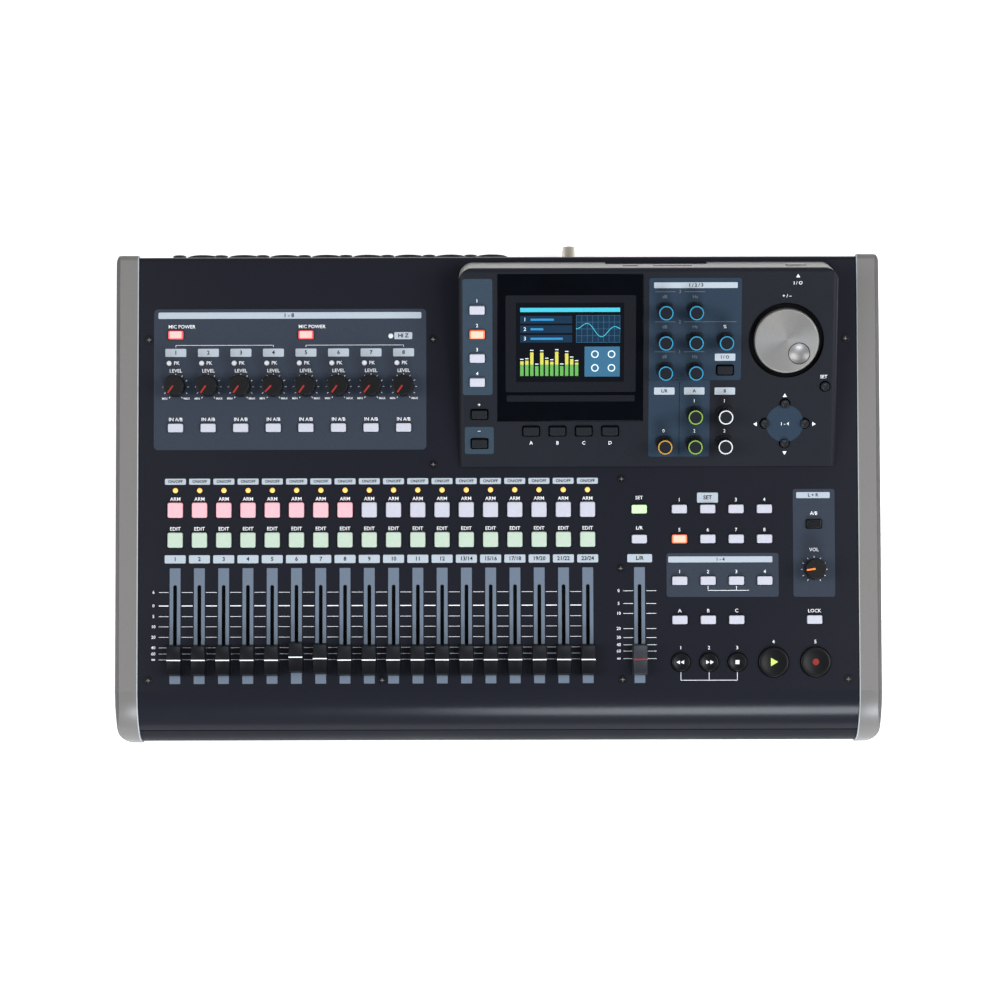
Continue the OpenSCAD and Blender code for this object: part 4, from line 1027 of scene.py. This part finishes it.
gaps = [x + 8.1 for x in TRACKS[:-1]]
for name, y in LEVELS:
    for x, length in [(x, 7.4) for x in gaps] + [(TRACKS[0] - 7.6, 6.4)]:
        tick(x, y, length, 0.6 if name == "0" else 0.26)
for _, y in STEREO_LEVELS:
    for x in (STEREO - 7.6, STEREO + 7.8):
        tick(x, y, 6.6, 0.3)
DIAL_R, DIAL_FROM, DIAL_STEP, DIAL_TICKS = 8.3, -60, 30, 11
for x, y in [(x, TRIM_ROW) for x in INPUTS] + [(RIGHT, MONITOR_ROW)]:
    for k in range(DIAL_TICKS):
        a = math.radians(DIAL_FROM + DIAL_STEP * k)
        tick(x + DIAL_R * math.cos(a), y + DIAL_R * math.sin(a), 1.1, 0.36, a)
grown("scale_ticks", MARKS, PANEL, points, {"Length": 1, "Thickness": 1}, "print_white", "chassis",
      spans, turns)

# printing on the display unit
side = Print("unit_side_zones", UNIT, LOW, "print_side", slot="housing")
side.zone(-22.5, 48.5, -2.8, 126, 1.6, [key_gap(*p) for p in SIDE_KEYS])
side.zone(-21.4, 8.7, -2.1, 27, 1.4, [key_gap(-11.6, 15.8, *DARK_GAP)])
side.piece()
blue = Print("unit_zones", UNIT, LOW, "print_blue", slot="housing")
wells = {n: shaft_gap(*encoder_at(n)) for n in ENCODERS}
upper = [n for n, (_, row, _) in ENCODERS.items() if row < 3]
lower = [n for n, (column, row, _) in ENCODERS.items() if row > 2 and column < 2]
blue.zone(100.9, 58.2, 162, 126.3, 1.6,
          [wells[n] for n in upper] + [key_gap(151.4, ENCODER_ROWS[2], *DARK_GAP)])
blue.zone(100.9, 6.6, 141.5, 58.6, 1.6, [wells[n] for n in lower])
blue.disc(*CURSOR, 12.5)
blue.piece()
plate = Print("unit_plates", UNIT, HIGH, "print_plate", slot="housing")
plate.zone(104, 119.6, 159.2, 123.4, 0.6)
UNIT_PLATES = [("L/R", 111.3, 50.9), ("A", 131.2, 50.9), ("B", 151.5, 50.8), ("I / O", 151.4, 73.5)]
for _, x, y in UNIT_PLATES:
    plate.bar(x, y, 13.6, 4.8, 0.6)
plate.piece()
ink = Print("unit_plate_lettering", UNIT, OVER_PLATES, "print_dark", slot="housing", weight=BOLD)
ink.words([("1 / 2 / 3", 131.6, 121.5)], 2.2)
ink.words(UNIT_PLATES, 2.1)
ink.piece()
faint = Print("unit_faint_lettering", UNIT, OVER_PLATES, "print_strip", slot="housing")
for y, name, end in ((117.2, "3", 137.5), (97.2, "2", 158.5), (77.2, "1", 137.5)):
    faint.words([(name, 121.2, y), ("dB", 111.2, y - 3.4), ("Hz", 131.3, y - 3.4)], 2.2)
    faint.line([(104.8, y), (118.2, y)], 0.28)
    faint.line([(124.2, y), (end, y)], 0.28)
faint.piece()
seam = Print("unit_zone_seam", UNIT, HIGH, "print_dark", slot="housing")
seam.line([(121.3, 8.0), (121.3, 56.5)], 0.4)
seam.piece()
label = Print("unit_lettering", UNIT, OVER_PLATES, "print_white", slot="housing")
label.words([(str(k + 1), -13, y) for k, y in enumerate((111.4, 94.9, 78.8, 62.8))])
label.words([("+", -11.8, 41.8), ("–", -11.8, 24.3)], 2.6)
label.words([("ABCD"[k], x, 16) for k, (x, _) in enumerate(FUNCTION_KEYS)])
label.words([("%", 151.2, 93.8), ("1", 131.3, 44.1), ("1", 151.3, 44.1), ("0", 111.0, 24.0),
             ("2", 131.5, 23.9), ("2", 151.5, 23.9)], 2.2)
label.words([("+ / –", JOG[0], 114.2), ("I / O", 199, 122.8), ("SET", 217, 60.2),
             ("1 - 4", CURSOR[0], 28.6)], 2.2)
label.arrow(199, 127.3, 1.5, 90)
for k, (x, y) in enumerate(((210.8, 28.5), (191.4, 47.5), (172.3, 28.5), (191.8, 9.2))):
    label.arrow(x, y, 1.6, 90 * k)
label.piece()

# screen
bezel = Print("screen_bezel", UNIT, LOW, "bezel", slot="window")
bezel.zone(5.9, 50.4, 92.2, 115, 1.2)
bezel.zone(6.6, 44.0, 91.6, 48.2, 0.6)
bezel.piece()
SCREEN_X, SCREEN_Y, SCREEN_W, SCREEN_L = 14.2, 58.2, 68.8, 50.8


def on_screen(points):
    """Places given as parts of the screen's width and height, from its lower left corner."""
    return [(SCREEN_X + u * SCREEN_W, SCREEN_Y + v * SCREEN_L) for u, v in points]


def field(u0, v0, u1, v1):
    return on_screen([(u0, v0), (u1, v0), (u1, v1), (u0, v1)])


# a plain mixer page: numbered sliders, a curve on a grid, a row of level meters and four dials
SLIDERS = [(0.80, 0.62), (0.675, 0.34), (0.55, 0.86)]
GRAPH = (0.56, 0.50, 0.98, 0.855)
METERS = [(0.02 + 0.048 * k, 0.13 + 0.2 * math.sin(1.9 * k + 0.6) ** 2) for k in range(12)]
METER_FOOT, METER_W, METER_MID = 0.06, 0.032, 0.15
PAGE_STEP = 0.03
DIALS = [(u, v) for v in (0.345, 0.165) for u in (0.74, 0.90)]
SCREEN_SHAPES = (
    ("screen_ground", "screen_night", 0, [field(-0.02, -0.02, 1.02, 1.02)]),
    ("screen_header", "screen_cyan", 1, [field(0.02, 0.90, 0.98, 0.955)]),
    ("screen_rows", "screen_blue", 1, [
        field(*GRAPH), *[field(0.02, v - 0.05, 0.52, v + 0.05) for v, _ in SLIDERS]]),
    ("screen_sliders", "screen_sky", 2, [
        field(0.12, v - 0.014, 0.12 + 0.36 * part, v + 0.014) for v, part in SLIDERS]),
    ("screen_panel", "screen_steel", 1, [field(0.64, 0.05, 0.98, 0.445)]),
    ("screen_meters", "screen_green", 1, [
        field(u, METER_FOOT, u + METER_W, METER_FOOT + min(h, METER_MID)) for u, h in METERS]),
    ("screen_meter_tops", "screen_yellow", 1, [
        field(u, METER_FOOT + METER_MID, u + METER_W, METER_FOOT + h)
        for u, h in METERS if h > METER_MID]),
    ("screen_peaks", "screen_white", 1, [
        field(u, METER_FOOT + h + 0.02, u + METER_W, METER_FOOT + h + 0.032) for u, h in METERS]),
)
for name, paint, level, shapes in SCREEN_SHAPES:
    part = Print(name, UNIT, HIGH + PAGE_STEP * level, paint, slot="screen")
    for outline in shapes:
        part.area(outline)
    part.piece()
left, low, right, top = GRAPH
GRID_W, CURVE_W, CURVE_MID, CURVE_RISE, CURVE_STEPS = 0.22, 0.5, 0.68, 0.11, 32
graph = Print("screen_graph", UNIT, HIGH + 2 * PAGE_STEP, "screen_steel", slot="screen")
for k in range(9):
    u = left + (right - left) * k / 8
    graph.line(on_screen([(u, low), (u, top)]), GRID_W)
for k in range(5):
    v = low + (top - low) * k / 4
    graph.line(on_screen([(left, v), (right, v)]), GRID_W)
graph.piece()
wave = []
for k in range(CURVE_STEPS + 1):
    along = k / CURVE_STEPS
    swing = math.sin(k / 4) * math.sin(math.pi * along)
    wave.append((left + (right - left) * along, CURVE_MID + CURVE_RISE * swing))
curve = Print("screen_curve", UNIT, HIGH + 3 * PAGE_STEP, "screen_cyan", slot="screen")
curve.line(on_screen(wave), CURVE_W)
curve.piece()
dials = Print("screen_dials", UNIT, HIGH + 3 * PAGE_STEP, "screen_white", slot="screen")
for x, y in on_screen(DIALS):
    dials.disc(x, y, 2.5, 1.8)
for (x, y), number in zip(on_screen([(0.065, v) for v, _ in SLIDERS]), "123"):
    dials.word(number, x, y, 2.4)
dials.piece()

# stage, light and camera
floor_mesh = bpy.data.meshes.new("floor")
FLOOR_HALF, FLOOR_LIFT = 40, 0.45
floor_mesh.from_pydata([(sx * FLOOR_HALF, sy * FLOOR_HALF, 0) for sx, sy in CORNERS], [],
                       [(0, 1, 2, 3)])
floor = linked("floor", floor_mesh)
paper = surface("floor_paper", (244, 244, 244), 0.9, specular=0.1, grain=400, vary=0.01, bump=0.02)
nodes, links = paper.node_tree.nodes, paper.node_tree.links
path = nodes.new("ShaderNodeLightPath")
seen = maths(paper.node_tree, "ADD", path.outputs["Is Camera Ray"], path.outputs["Is Glossy Ray"])
seen = maths(paper.node_tree, "ADD", seen, path.outputs["Is Transmission Ray"])
lift = maths(paper.node_tree, "MULTIPLY", seen, FLOOR_LIFT)
links.new(lift, nodes["Principled BSDF"].inputs["Emission Strength"])
preset(nodes["Principled BSDF"], {"Emission Color": (1, 1, 1, 1)})
floor_mesh.materials.append(paper)

world = bpy.data.worlds.new("studio")
bpy.context.scene.world = world
world.use_nodes = True
nodes, links = world.node_tree.nodes, world.node_tree.links
preset(nodes["Background"], {"Color": (0.94, 0.96, 1.0, 1)})
split = nodes.new("ShaderNodeSeparateXYZ")
links.new(nodes.new("ShaderNodeTexCoord").outputs["Generated"], split.inputs["Vector"])
dome = nodes.new("ShaderNodeMapRange")
preset(dome, {"From Min": 0.3, "To Min": 0.6, "To Max": 0.1})
links.new(split.outputs["Z"], dome.inputs["Value"])
links.new(dome.outputs["Result"], nodes["Background"].inputs["Strength"])


LIT_AT = Vector((0, 0, 0.04))


def softbox(name, at, size, power, colour=(1, 1, 1)):
    light = bpy.data.lights.new(name, "AREA")
    light.shape = "RECTANGLE"
    light.size, light.size_y = size
    light.energy = power
    light.color = colour
    box = linked(name, light)
    box.location = at
    box.rotation_euler = (LIT_AT - Vector(at)).to_track_quat("-Z", "Y").to_euler()


softbox("left_box", (-1.5, -0.1, 1.9), (1.0, 1.8), 34)
softbox("right_box", (1.5, -0.1, 1.9), (1.0, 1.8), 42)
softbox("front_box", (0.42, -1.8, 1.2), (0.9, 0.6), 35, (0.86, 0.93, 1.0))

TARGET = Vector((1.3, -6.6, 40.0)) * MM
DISTANCE, TILT, ROLL = 2.0, math.radians(6.0), -0.0025
camera_data = bpy.data.cameras.new("camera")
camera_data.lens = 107.0
camera_data.sensor_width = 36
camera = linked("camera", camera_data)
camera.matrix_world = (
    Matrix.Translation(TARGET + DISTANCE * Vector((0, -math.sin(TILT), math.cos(TILT))))
    @ Matrix.Rotation(TILT, 4, "X")
    @ Matrix.Rotation(ROLL, 4, "Z")
)
bpy.context.scene.camera = camera
bpy.context.scene.view_settings.view_transform = "Standard"
